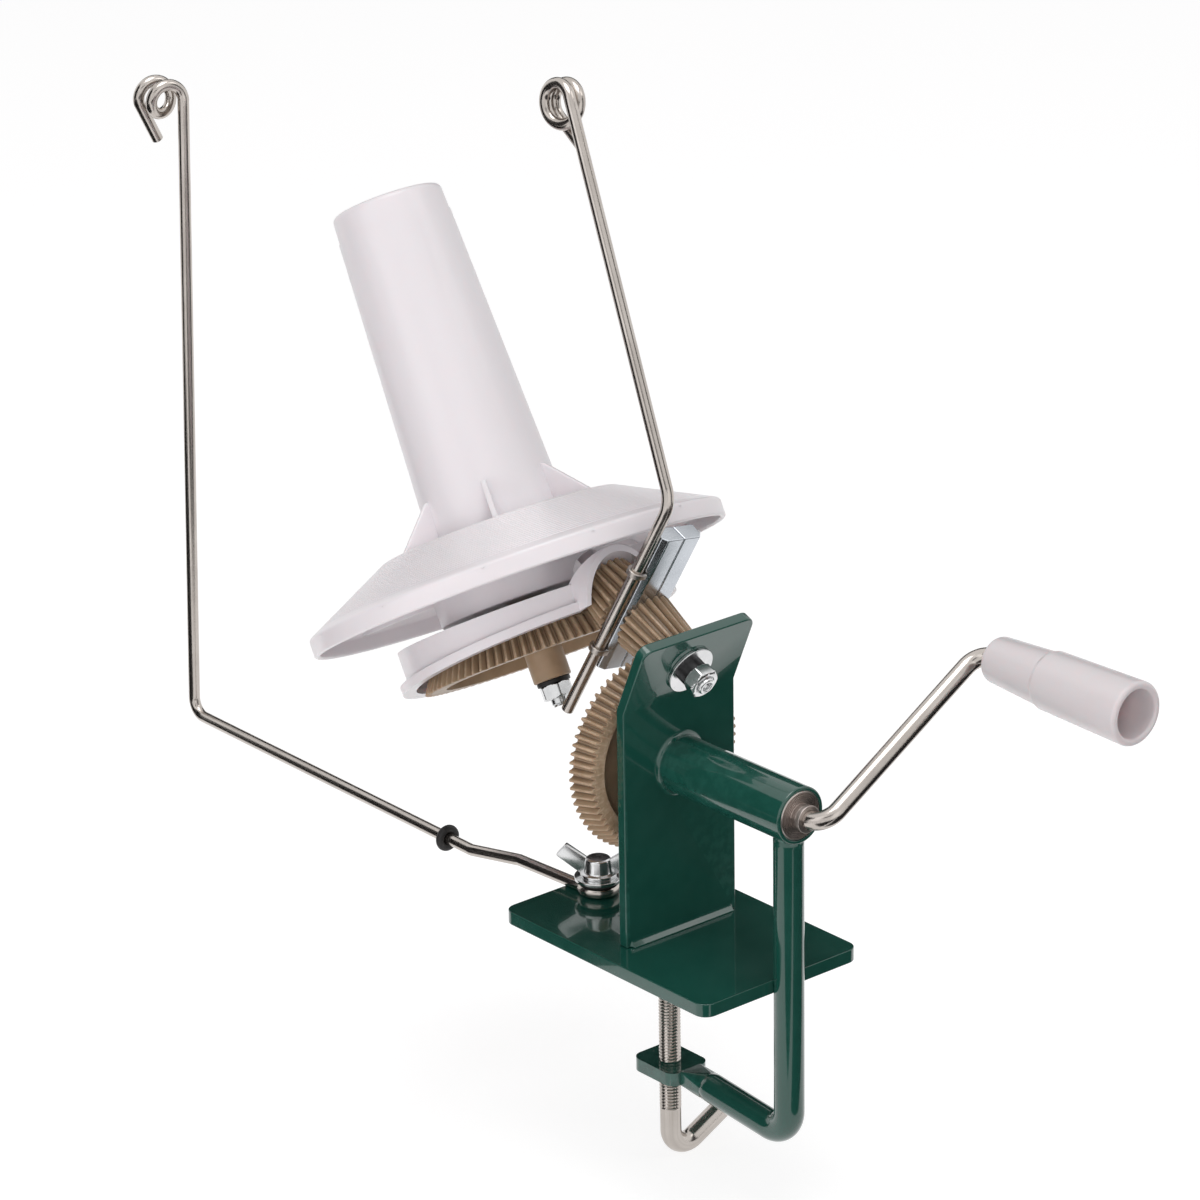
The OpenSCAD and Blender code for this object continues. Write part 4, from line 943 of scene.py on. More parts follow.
def weld_outline(outer, steps=6):
    """The hollow weld round the tube's root."""
    outline = [(outer - WELD_SINK, UPRIGHT_FRONT + TUBE_WELD)]
    for step in range(steps + 1):
        a = math.pi / 2 * step / steps
        outline.append((outer + TUBE_WELD * (1 - math.cos(a)), UPRIGHT_FRONT + TUBE_WELD * (1 - math.sin(a))))
    sunk = UPRIGHT_FRONT - WELD_SINK
    return outline + [(outer + TUBE_WELD, sunk), (outer - WELD_SINK, sunk)]


class WINDER_OT_wires(bpy.types.Operator):
    """Bends the flyer wire and the guide wire"""

    bl_idname = "winder.wires"
    bl_label = "Bend Wires"

    def execute(self, context):
        wire = context.scene.winder_shapes.wire_thickness / MM
        side, depth = ARM_SIDE + wire / 2, BAR_START + BAR_DEPTH / 2
        spread = math.radians(ARM_SPREAD)
        up = Vector((math.sin(spread), 0, math.cos(spread)))
        knee = Vector((ARM_BEND_AT, -side, depth))
        tip = knee + ARM_LENGTH * up
        path = bent_path([(-ARM_BELOW, -side, depth), knee, tip], ARM_BEND, 16)
        path += eye_path(tip, up, Vector((-up[2], 0, up[0])), Vector((0, 1, 0)), *ARM_EYE)
        mesh = rod(path, wire, FINISHES["drawn_wire"], FLYER)
        piece("flyer_wire", mesh, FINISHES["drawn_wire"], "flyer", ["flyer_arm"])

        level = BASE_THICKNESS + wire / 2 + 0.1
        ring = (GUIDE_RING + wire) / 2

        def along(heading):
            turn = math.radians(heading)
            return Vector((-math.cos(turn), -math.sin(turn), 0))

        start = ring * along(GUIDE_FOOT_HEADING)
        (first, first_heading), (second, second_heading), (reach, reach_heading) = GUIDE_STEPS
        knee = start + first * along(first_heading)
        ankle = knee + second * along(second_heading) + Vector((0, 0, GUIDE_RUN_LEVEL - level))
        corner = ankle + (reach + ankle.x) * along(reach_heading)
        lean = math.radians(GUIDE_LEAN)
        up = Vector((0, math.sin(lean), math.cos(lean)))
        tip = corner + (GUIDE_HEIGHT - level) * up
        place = lengths(*GUIDE_PIVOT, level)
        eye = [ring * along(GUIDE_FOOT_HEADING + 12 * k) for k in range(1, 29)]
        path = eye + bent_path([start, knee, ankle, corner, tip], GUIDE_BEND)
        path += eye_path(tip, up, Vector((0, -up.z, up.y)), Vector((-1, 0, 0)), *GUIDE_EYE)
        mesh = rod(path, wire, FINISHES["drawn_wire"], place)
        piece("guide_wire", mesh, FINISHES["drawn_wire"], "guide", ["yarn_guide"])
        return {"FINISHED"}


class WINDER_OT_crank(bpy.types.Operator):
    """Builds the crank rod, its collar, its bush and the handle grip"""

    bl_idname = "winder.crank"
    bl_label = "Build Crank"

    def execute(self, context):
        steel = FINISHES["drawn_wire"]
        tail = WASHER + NUT_HEIGHT + 1 - DRIVE_BACK
        pin = GRIP_START + GRIP_FLOOR + PIN_PAST_FLOOR
        turn = turned(90 + CRANK_REST, "Z")
        path = bent_path([(0, 0, -tail), turn.inverted() @ Vector((0, 0, ARM_PLANE)),
                          (CRANK_RADIUS, 0, ARM_PLANE), (CRANK_RADIUS, 0, ARM_PLANE + pin)], CRANK_BEND, 14)
        mesh = rod(path, CRANK_ROD, steel, CRANK @ turn, 40, 0.8)
        piece("crank_rod", mesh, steel, "crank", ["crank_rod_and_arm"])
        piece("grip", grip_mesh(), FINISHES["grip_plastic"], "grip", ["handle_grip"])
        piece("stakes", stakes_mesh(), FINISHES["bright_plate"], "crank")
        turned_steel = FINISHES["turned_steel"]
        bush = Shell().lathe(bush_outline(), CRANK)
        piece("bush", bush.mesh("bush"), turned_steel, "frame", ["front_bush"])
        collar = softened("crank_collar", 0.25)
        piece("collar", collar, turned_steel, "crank", ["crank_collar"], None)
        return {"FINISHED"}


def grip_mesh():
    """The hollow grip, with a mark on the corners that lie in its hollow, where a glow of light through the
    plastic is painted.
    """
    grip = Shell().lathe(cornered(GRIP_OUTLINE, 7), lengths(0, 0, GRIP_START), 128)
    mesh = grip.mesh("grip", HANDLE)
    inward = (Matrix.Scale(MM, 4) @ HANDLE).inverted()
    lowest, highest = GRIP_START + GRIP_FLOOR - 1, GRIP_START + GRIP_LENGTH - 2
    for corner, value in zip(mesh.vertices, mesh.attributes.new("hollow", "FLOAT", "POINT").data):
        x, y, z = inward @ corner.co
        value.value = float(math.hypot(x, y) < GRIP_MOUTH + 0.1 and lowest < z < highest)
    return mesh


def stakes_mesh():
    """Two ears staked out of the handle pin, which hold the grip."""
    ears = Shell()
    faces = [[3, 2, 1, 0], [8, 9, 10, 11]]
    faces += [[4 * k + j, 4 * k + (j + 1) % 4, 4 * k + 4 + (j + 1) % 4, 4 * k + 4 + j]
              for k in range(2) for j in range(4)]
    for side in (1, -1):
        corners = [(x, y, z) for z, wide, deep in EAR_SECTIONS
                   for x, y in ((-wide, EAR_FOOT), (wide, EAR_FOOT), (wide * 0.6, EAR_FOOT + 0.2 + deep),
                                (-wide * 0.6, EAR_FOOT + 0.2 + deep))]
        ears.add(corners, faces, HANDLE @ turned(90 * side + 20, "Z"))
    return ears.mesh("stakes")


def bush_outline():
    """The front bush, with turned rings in its face and a nose for the collar."""
    bore, edge = CRANK_ROD / 2 + 0.05, TUBE_OUTER / 2 - TUBE_WALL - 0.02
    outline = [(bore, TUBE_END - BUSH_DEPTH), (edge, TUBE_END - BUSH_DEPTH), (edge, TUBE_END - 0.5),
               (edge - 0.5, TUBE_END)]
    for i in range(BUSH_RINGS):
        r = edge - 0.9 - (edge - 6.6) * i / BUSH_RINGS
        outline += [(r, TUBE_END), (r - 0.12, TUBE_END - 0.4), (r - 0.5, TUBE_END - 0.4),
                    (r - 0.62, TUBE_END)]
    nose = TUBE_END + BUSH_NOSE
    return outline + [(5.5, TUBE_END), (5.5, nose - 0.3), (5.2, nose), (bore, nose)]


PRESSURE_ANGLE = 20
TOOTH_SHARE = 0.94


def involute(angle):
    """The involute of an angle, in degrees."""
    return math.degrees(math.tan(math.radians(angle))) - angle


def half_tooth(teeth, cone, pitch_radius, height):
    """Half the angle, in degrees, of a bevel tooth at a height above the pitch line."""
    slant = math.cos(math.radians(cone))
    virtual = pitch_radius / slant
    share = min(1, virtual * math.cos(math.radians(PRESSURE_ANGLE)) / (virtual + height))
    pressure = math.degrees(math.acos(share))
    return 90 * TOOTH_SHARE / teeth + (involute(PRESSURE_ANGLE) - involute(pressure)) / slant


ROOT_SHARE = 1.2
FLANK_SHARES = (-ROOT_SHARE, -1.12, -0.8, -0.4, 0.0, 0.35, 0.6, 0.78, 0.87, 0.9)


def tooth_sector(teeth, cone, reach, face, inner):
    """One tooth and its share of the body, large end on Z = 0 and the cone's tip up."""
    pitch_radius = reach * math.tan(math.radians(cone))
    size = 2 * pitch_radius / teeth
    step = 180 / teeth
    root = -ROOT_SHARE * size
    flank = []
    for share in FLANK_SHARES:
        height = share * size
        half = half_tooth(teeth, cone, pitch_radius, max(height, -0.9 * size))
        if share == -ROOT_SHARE:
            half = min(step * 0.9, half + 0.12 * step)
        if share > 0.5:
            half = max(half, 0.27 * step) - max(0, share - 0.78) * 0.7 * step
        flank.append((height, half))
    line = [(root, -step)] + [(h, -a) for h, a in flank]
    line += [(h, a) for h, a in reversed(flank)] + [(root, step)]
    stations = ((0.0, 0.45), (0.22, 0.12), (0.55, 0.0), (face - 0.5, 0.0), (face - 0.2, 0.12), (face, 0.4))
    corners, faces = [], []
    for z, inset in stations:
        shrink = (reach - z) / reach
        for height, angle in line:
            shown = max(root, height - inset) if height > -0.6 * size else height
            squeeze = 1 - inset / size * 0.35 if height > -0.6 * size else 1
            r = shrink * reach * math.tan(
                math.radians(cone) + math.atan(shown * math.cos(math.radians(cone)) / reach))
            a = math.radians(angle * squeeze)
            corners.append((r * math.cos(a), r * math.sin(a), z))
        for height, angle in line:
            a = math.radians(angle)
            corners.append((inner * math.cos(a), inner * math.sin(a), z))
    count = len(line)
    row = 2 * count
    for s in range(len(stations) - 1):
        for j in range(count - 1):
            a = s * row + j
            faces.append([a, a + 1, a + row + 1, a + row])
            b = a + count
            faces.append([b + 1, b, b + row, b + row + 1])
    last = (len(stations) - 1) * row
    for j in range(count - 1):
        faces.append([j + 1, j, j + count, j + count + 1])
        faces.append([last + j, last + j + 1, last + j + count + 1, last + j + count])
    return corners, faces


def gear_mesh(name, teeth, cone, reach, face, inner, place, bodies, mirror=False, phase=0.0):
    """A bevel gear: its teeth set round by the tree, with its turned body."""
    sector = bpy.data.meshes.new("tooth")
    corners, faces = tooth_sector(teeth, cone, reach, face, inner)
    sector.from_pydata(corners, [], faces)
    band = grown(sector, TREES["circle"], FINISHES["moulded_tan"], Count=teeth,
                 First_Turn=math.radians(phase))
    flip = Matrix.Scale(-1, 4, (0, 0, 1)) if mirror else Matrix()
    band.transform(Matrix.Scale(MM, 4) @ place @ flip)
    band = tidied(band, 1e-5)
    shell = Shell()
    for outline in bodies:
        shell.lathe(outline, Matrix(), 96)
    return joined(band, shell.mesh(name, place))


class WINDER_OT_gears(bpy.types.Operator):
    """Builds the drive gear, the flyer's two gears and the ring gear"""

    bl_idname = "winder.gears"
    bl_label = "Build Gears"

    def execute(self, context):
        lean = math.radians(LEAN)
        drive_apex = (AXLE.translation.z - CRANK_HEIGHT) / math.sin(lean)
        drive_cone = meshing_cone(LEAN, DRIVE_TEETH)
        drive_reach = AXLE.translation.x + drive_apex * math.cos(lean) - DRIVE_BACK
        rim, rim_depth = DRIVE_RIM
        dish, web = DRIVE_DISH
        hub = DRIVE_HUB_END - DRIVE_BACK
        body = [cornered([
            (BORE, -0.03, 0), (rim, -0.03, 0), (rim, rim_depth, 0), (dish, rim_depth, 1.0), (dish, web, 2.0),
            (DRIVE_HUB, web, 1.5), (DRIVE_HUB, hub, 0.8), (BORE, hub, 0)], 4)]
        mesh = gear_mesh("drive", DRIVE_TEETH, drive_cone, drive_reach, DRIVE_DEPTH, dish + 0.4,
                         CRANK @ lengths(0, 0, DRIVE_BACK), body)
        gear_piece("drive_wheel", mesh, "crank", "drive_gear")

        hub, hub_length = LOWER_HUB
        body = [cornered([(PINION_BORE, -hub_length, 0), (hub, -hub_length, 0.5), (hub, -0.5, 0),
                          (PINION_BORE, -0.5, 0)], 3),
                cornered([(PINION_BORE, -1, 0), (PINION_NECK, -1, 0), (PINION_NECK, BAR_DEPTH, 0.4),
                          (PINION_BORE, BAR_DEPTH, 0)], 3)]
        mesh = gear_mesh("lower", PINION_TEETH, LEAN - drive_cone, drive_apex + BAR_START,
                         BAR_START - LOWER_FACE_END, PINION_BORE, AXLE @ lengths(0, 0, BAR_START), body,
                         mirror=True, phase=180 / PINION_TEETH)
        gear_piece("lower_pinion", mesh, "flyer", "lower_flyer_gear")

        ring_cone = meshing_cone(AXES_ANGLE, RING_TEETH)
        upper_start = BAR_START + BAR_DEPTH + PINION_GAP
        body = [cornered([(PINION_BORE, -PINION_GAP, 0), (UPPER_HUB, -PINION_GAP, 0.4), (UPPER_HUB, 0.5, 0),
                          (PINION_BORE, 0.5, 0)], 3)]
        mesh = gear_mesh("upper", PINION_TEETH, AXES_ANGLE - ring_cone, CONE_APEX - upper_start, UPPER_FACE,
                         PINION_BORE, AXLE @ lengths(0, 0, upper_start), body,
                         phase=COVER_TURN + 180 / PINION_TEETH)
        gear_piece("upper_pinion", mesh, "flyer", "upper_flyer_gear")

        boss_end, boss, web, top = (RING_REACH - depth for depth in (
            RING_BOSS_END, RING_BOSS_AT, RING_WEB_AT, NECK_DEPTH))
        body = [cornered([
            (BORE, boss_end, 0.3), (RING_BOSS, boss_end, 0.7), (RING_BOSS, boss, 1.2), (RING_DISH, boss, 0),
            (RING_DISH, web, 0), (RING_HUB, web, 0), (RING_HUB, top, 0), (BORE, top, 0)], 4)]
        mesh = gear_mesh("ring", RING_TEETH, ring_cone, RING_REACH, RING_FACE, RING_DISH - 1,
                         CONE @ lengths(0, 0, -RING_REACH), body)
        gear_piece("ring_wheel", mesh, "cone", "ring_gear")
        return {"FINISHED"}


def meshing_cone(angle, teeth):
    """The cone, in degrees, of a gear whose axis stands at an angle to its pinion's."""
    turn = math.radians(angle)
    return math.degrees(math.atan(math.sin(turn) / (PINION_TEETH / teeth + math.cos(turn))))


def gear_piece(name, mesh, body, node):
    """A finished gear that rides on a body."""
    piece(name, mesh, FINISHES["moulded_tan"], body, [node])


class WINDER_OT_cone(bpy.types.Operator):
    """Builds the cone with its cap, and the flange with its grooves, fins and ribs"""

    bl_idname = "winder.cone"
    bl_label = "Build Cone"

    def execute(self, context):
        shapes = context.scene.winder_shapes
        white = FINISHES["white_plastic"]
        fins = grown(plate_mesh(fin_outline(), FIN_THICKNESS), TREES["circle"], white, Count=shapes.fin_count,
                     First_Turn=math.radians(FIRST_FIN))
        ribs = grown(plate_mesh(rib_outline(), RIB_THICKNESS), TREES["circle"], white, Count=shapes.rib_count,
                     First_Turn=math.pi / shapes.rib_count)
        for mesh in (fins, ribs):
            mesh.transform(Matrix.Scale(MM, 4) @ CONE)
        shell = Shell().lathe(flange_outline(shapes.groove_count), Matrix(), 192)
        piece("flange", joined(shell.mesh("flange", CONE), fins, ribs), white, "cone",
              ["cone_flange"])
        tube = Shell().lathe(cone_outline(), Matrix(), 160)
        piece("cone_shell", tube.mesh("cone_shell", CONE), white, "cone",
              ["cone_tube", "cone_cap"])
        return {"FINISHED"}


FLANGE_SLOPE = (RIM_DEPTH - FLAT_DEPTH) / (RIM_RADIUS - FLAT_RADIUS)


def flange_outline(grooves):
    """The flange cut through: its grooved slope, rim, underside, neck and the floor for the spindle."""
    outline = [(FOOT_RADIUS - 0.4, -FLAT_DEPTH), (FLAT_RADIUS, -FLAT_DEPTH)]
    first, last = FLAT_RADIUS + 1.6, RIM_RADIUS - 4
    pitch = (last - first) / grooves
    for i in range(grooves):
        for share, cut in ((0, 0), (0.16, GROOVE_DEPTH), (0.3, GROOVE_DEPTH), (0.46, 0)):
            r = first + pitch * (i + share)
            outline.append((r, -FLAT_DEPTH - (r - FLAT_RADIUS) * FLANGE_SLOPE - cut))
    radii = [0, 1.2] + [0] * (len(outline) - 2)
    under, skirt_end = FLAT_DEPTH + FLANGE_WALL, RIM_DEPTH + SKIRT
    rim_inside, neck_inside = RIM_RADIUS - FLANGE_WALL, NECK_RADIUS - WALL
    tube_inside, tube_seat, lip = FOOT_RADIUS - 2 * WALL, FOOT_RADIUS - WALL - 0.05, 6 - FLAT_DEPTH
    outline += [(RIM_RADIUS, -RIM_DEPTH), (RIM_RADIUS, -skirt_end), (rim_inside, -skirt_end),
                (rim_inside, -RIM_DEPTH - FLANGE_WALL + FLANGE_WALL * FLANGE_SLOPE),
                (FLAT_RADIUS, -under), (NECK_RADIUS, -under), (NECK_RADIUS, -NECK_DEPTH),
                (BORE, -NECK_DEPTH), (BORE, WALL - NECK_DEPTH), (neck_inside, WALL - NECK_DEPTH),
                (neck_inside, -under), (tube_inside, -under), (tube_inside, lip),
                (tube_seat, lip), (tube_seat, -FLAT_DEPTH)]
    radii += [2.0, 1.1, 1.1, 1.6, 2.0, 1.6, 0.8, 0, 0, 1, 1, 0, 0, 0, 0]
    return rounded(outline, radii, 4)


def cone_outline():
    """The tapered tube with its cap, cut through."""
    edge, inside = TOP_RADIUS - 0.35, CONE_TOP - WALL
    outline = [(FOOT_RADIUS - WALL, -FLAT_DEPTH), (FOOT_RADIUS, -FLAT_DEPTH), (TOP_RADIUS, CONE_TOP - CAP)]
    return outline + cornered([
        (edge, CONE_TOP - CAP + 0.05, 0), (edge - 0.5, CONE_TOP, 2.6), (0.01, CONE_TOP, 0), (0.01, inside, 0),
        (TOP_RADIUS - 3 * WALL, inside, 3), (TOP_RADIUS - WALL, CONE_TOP - CAP - 3, 0)], 7)


def fin_outline():
    """A fin in the plane of the cone's axis, its top corner rounded."""
    foot, low = FOOT_RADIUS - 1.4, -FLAT_DEPTH
    return cornered([(foot, low - 1, 0), (FOOT_RADIUS + FIN_REACH, low - 1, 0),
                     (FOOT_RADIUS + FIN_REACH, low + 0.6, 0.5), (FOOT_RADIUS + 0.4, low + FIN_HEIGHT, 1.6),
                     (foot, low + FIN_HEIGHT, 0)], 5)


def rib_outline():
    """A rib that follows the flange's underside, in the plane of the cone's axis."""
    root, under = NECK_RADIUS - 1.1, FLAT_DEPTH + FLANGE_WALL / 2
    end = FLAT_RADIUS + (RIB_DEPTH - under) / FLANGE_SLOPE
    return [(root, -under), (FLAT_RADIUS, -under), (end, -RIB_DEPTH), (root, -RIB_DEPTH)]


def plate_mesh(outline, thickness, edge=0.5):
    """A flat plate in the XZ plane, in millimetres, with its long edges rounded over."""
    work = bmesh.new()
    ring = [work.verts.new((x, -thickness / 2, z)) for x, z in outline]
    face = work.faces.new(ring)
    grown_face = bmesh.ops.extrude_face_region(work, geom=[face])
    moved = [v for v in grown_face["geom"] if isinstance(v, bmesh.types.BMVert)]
    bmesh.ops.translate(work, verts=moved, vec=(0, thickness, 0))
    bmesh.ops.recalc_face_normals(work, faces=work.faces)
    edges = [e for e in work.edges if abs(e.verts[0].co.y - e.verts[1].co.y) < thickness / 2]
    bmesh.ops.bevel(work, geom=edges, offset=edge, segments=3, affect="EDGES", profile=0.5)
    mesh = bpy.data.meshes.new("plate")
    work.to_mesh(mesh)
    work.free()
    return mesh


class WINDER_OT_cover(bpy.types.Operator):
    """Builds the gear cover with its hood"""

    bl_idname = "winder.cover"
    bl_label = "Build Cover"

    def execute(self, context):
        piece("cover", softened("gear_cover", 0.6), FINISHES["white_plastic"], "frame",
              ["gear_cover"], None)
        return {"FINISHED"}


class WINDER_OT_fasteners(bpy.types.Operator):
    """Builds the nuts, washers, bars, straps, clamp screw and wing bolt"""

    bl_idname = "winder.fasteners"
    bl_label = "Build Fasteners"

    def execute(self, context):
        plate = FINISHES["bright_plate"]
        for name, node, body, width in (
                ("axle_washer_dressed", "axle_washer", "frame", 0.3),
                ("drive_washer", "drive_gear_washer", "crank", 0.3),
                ("wing_washer", "wing_bolt_washer", "lifted_washer", 0.4)):
            piece(name, softened(node, width), plate, body, [node], None)
        piece("wing_screw", wing_screw_mesh(), plate, "wing_bolt", ["wing_bolt"])
        for name, node, body, height, place in (
                ("axle_hexagon", "axle_nut", "frame", AXLE_NUT,
                 AXLE @ lengths(0, 0, -AXLE_STACK - AXLE_NUT)),
                ("spindle_hexagon", "spindle_nut", "cone", NUT_HEIGHT,
                 CONE @ lengths(0, 0, -RING_BOSS_END - RUBBER_WASHER - NUT_HEIGHT)),
                ("drive_hexagon", "drive_gear_nut", "crank", NUT_HEIGHT,
                 CRANK @ lengths(0, 0, DRIVE_BACK - WASHER - NUT_HEIGHT))):
            mesh = hexagon_nut(NUT_WIDTH, height, BOLT + 0.04).mesh(name, place)
            piece(name, mesh, plate, body, [node])
        for name, node in (("front_bar", "front_flyer_bar"), ("rear_bar", "rear_flyer_bar")):
            piece(name, softened(node, 0.6), FINISHES["zinc_coat"], "flyer", [node],
                  None)
        piece("straps", softened("arm_clips", 0.35), FINISHES["bare_steel"], "flyer",
              ["arm_clips"], None)
        piece("rubber_washer", softened("spindle_washer", 0.5), FINISHES["black_rubber"], "cone",
              ["spindle_washer"], None)
        wire = FINISHES["drawn_wire"]
        piece("clamp_thread", screw_mesh(wire), wire, "screw", ["clamp_screw"])
        piece("axle_thread", axle_end_mesh(), plate, "frame")
        spindle = Shell()
        spindle_end = RING_BOSS_END + RUBBER_WASHER + NUT_HEIGHT + 3.4
        threaded(spindle, -RING_BOSS_END, -spindle_end, *SPINDLE_THREAD, CONE)
        piece("spindle_thread", spindle.mesh("spindle_thread"), plate, "cone")
        return {"FINISHED"}


def screw_mesh(material):
    """The clamp screw: its neck, its thread, and its shank bent into a tommy handle."""
    screw = Shell()
    neck_end = SCREW_TOP + 4
    screw.lathe([(0.01, SCREW_TOP), (SCREW_NECK, SCREW_TOP), (SCREW_NECK, neck_end), (0.01, neck_end)],
                Matrix(), 40)
    threaded(screw, SCREW_TOP + 0.5, SCREW_TOP - SCREW_THREADED, *SCREW_THREAD)
    rise = TOMMY_LENGTH * math.tan(math.radians(TOMMY_SLOPE))
    line = bent_path([(0, 0, SCREW_TOP - SCREW_THREADED + 2), (0, 0, SHANK_END),
                      (0, TOMMY_LENGTH, SHANK_END + rise)], TOMMY_BEND, 14)
    thread = screw.mesh("screw")
    return joined(rod(line, SHANK, material, Matrix(), 40, 1.0), thread)


def axle_end_mesh():
    """The axle's end past its nut, with a dimple in its face."""
    inside = 1 - AXLE_STACK - AXLE_NUT
    end = -AXLE_STACK - AXLE_NUT - 1.6
    bolt = Shell().lathe(cornered([
        (0.01, end + 2.2, 0), (2.1, end + 1.9, 0.4), (2.3, end, 0.5), (BOLT / 2 - 0.05, end, 0.7),
        (BOLT / 2 - 0.05, inside, 0), (0.01, inside, 0)], 4), AXLE, 48)
    return bolt.mesh("axle_thread")


def wing_screw_mesh():
    """The wing bolt: a domed hub on a foot ring, two flat wings and the shank."""
    place = lengths(*GUIDE_PIVOT, WING_LEVEL)
    hub = Shell().lathe(cornered(WING_HUB, 5), place)
    slope = math.radians(WING_SLOPE)
    across = Vector((math.sin(slope), -math.cos(slope))) * WING_WIDTH / 2
    tip = Vector(WING_TIP)
    outline = rounded([(2.8, 0.6), (7.2, 0.6), tip + across, tip - across, (2.8, 6.6)],
                      [0, 1.0, 0.9, 0.9, 0], 4)
    wings = grown(plate_mesh(outline, WING_THICKNESS, 0.35), TREES["circle"], FINISHES["bright_plate"],
                  Count=2, First_Turn=math.radians(WING_TURN))
    wings.transform(Matrix.Scale(MM, 4) @ place)
    return joined(hub.mesh("hub"), wings)


def hexagon_nut(width, height, bore, sides=120):
    """A nut with chamfered corners, standing on Z = 0."""
    corner = width / 2 / math.cos(math.pi / 6)
    levels = (0, 0.25, 0.5, 0.75, 1.0, 1.3)
    outside = []
    for z in (*levels, height / 2, *(height - level for level in reversed(levels))):
        limit = width / 2 - 0.35 + min(z, height - z) * 1.7
        row = []
        for j in range(sides):
            a = math.tau * j / sides
            flat = width / 2 / math.cos((a + math.pi / 6) % (math.pi / 3) - math.pi / 6)
            r = min(flat, limit, corner - 0.15)
            row.append((r * math.cos(a), r * math.sin(a), z))
        outside.append(row)
    mouth = bore / 2
    for r, z in ((mouth + 0.7, height), (mouth, height - 0.6), (mouth, 0.6), (mouth + 0.7, 0)):
        outside.append([(r * math.cos(math.tau * j / sides), r * math.sin(math.tau * j / sides), z)
                        for j in range(sides)])
    return Shell().add([c for row in outside for c in row], ring_faces(len(outside), sides, True))


# The camera, in metres and radians, its focus in pixels of the photograph
CAMERA_PLACE = (1.593113, -1.374472, 0.987993)
CAMERA_YAW = 0.871865
CAMERA_PITCH = 0.376868
CAMERA_ROLL = -0.016139
CAMERA_FOCUS = 5391.78
PHOTO_WIDTH = 1200

# Dark cards for reflections: name, place, width and height in metres
FLOOR_CARDS = (
    ("floor_card", (0.63, 0.4), 0.94, 0.9),
    ("floor_card_front", (0.55, -0.46), 0.8, 0.72),
    ("floor_card_left", (-0.6, -0.55), 0.9, 0.8),
)
STANDING_CARDS = (
    ("back_card", (-1.15, 0.98, 0.62), 1.5, 0.8),
    ("left_card", (-0.75, -0.85, 0.3), 0.9, 1.4),
    ("right_card", (0.95, 0.62, 0.3), 0.42, 1.6),
    ("front_card", (1.0, -1.3, 1.1), 1.1, 0.3),
)

# Lamps: name, place, aim and width in metres, power in watts, colour
LAMPS = (
    ("key", (1.6, 1.3, 2.2), (-0.05, 0, 0.12), 1.2, 6, (1, 0.99, 0.98)),
    ("fill", (-0.3, -2.3, 1.5), (0, 0, 0.12), 1.5, 3, (1, 0.99, 1)),
    ("front", (2.3, -0.6, 0.7), (0, 0, 0.1), 1.4, 2, (1, 1, 1)),
    ("top", (0.1, -0.25, 2.3), (-0.05, 0, 0.12), 1.3, 19, (1, 1, 1)),
    ("near", (1.5, -1.5, 0.85), (-0.06, 0, 0.14), 0.6, 8.5, (1, 0.97, 0.98)),
    ("low", (0.1, -0.8, -0.1), (-0.06, 0, 0.16), 0.6, 3, (1, 0.97, 0.98)),
)
UNREFLECTED_LAMPS = ("near", "low")
FLOOR_GLOW = 0.76
SURROUNDING_LIGHT = 0.4


class WINDER_OT_stage(bpy.types.Operator):
    """Sets the floor, the lights, the surroundings and the camera"""

    bl_idname = "winder.stage"
    bl_label = "Set Stage"

    def execute(self, context):
        scene = context.scene
        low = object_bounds()[0][2]
        size = scene.winder_shapes.floor_size
        floor = flat_sheet("floor", 2 * size, 2 * size, floor_finish())
        floor.data.transform(Matrix.Translation((0, 0, low)))
        card_finish()
        cards = []
        for name, place, width, height in FLOOR_CARDS:
            card = flat_sheet(name, width, height, FINISHES["card_cloth"])
            card.location = (*place, low + 0.01)
            cards.append(card)
        for name, place, width, height in STANDING_CARDS:
            card = flat_sheet(name, width, height, FINISHES["card_cloth"])
            card.matrix_world = facing(place, (0, 0, 0), "Z")
            cards.append(card)
        for card in cards:
            card.visible_camera = card.visible_diffuse = card.visible_shadow = False
        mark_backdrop(floor, *cards)
        for name, place, aim, width, power, colour in LAMPS:
            lamp = bpy.data.lights.new(name, "AREA")
            lamp.shape = "SQUARE"
            lamp.size = width
            lamp.energy = power
            lamp.color = colour
            holder = stood(name, lamp)
            holder.matrix_world = facing(place, aim, "-Z")
            holder.visible_glossy = name not in UNREFLECTED_LAMPS
        surroundings(scene)
        set_camera(scene)
        scene.view_settings.view_transform = "Standard"
        return {"FINISHED"}


def facing(place, aim, axis):
    """A place in metres with one of its axes turned towards an aim."""
    turn = (Vector(aim) - Vector(place)).to_track_quat(axis, "Y")
    return Matrix.Translation(place) @ turn.to_matrix().to_4x4()


def flat_sheet(name, width, height, material):
    """A level sheet of one face about the origin, in metres."""
    x, y = width / 2, height / 2
    mesh = bpy.data.meshes.new(name)
    mesh.from_pydata([(-x, -y, 0), (x, -y, 0), (x, y, 0), (-x, y, 0)], [], [(0, 1, 2, 3)])
    mesh.materials.append(material)
    return stood(name, mesh)


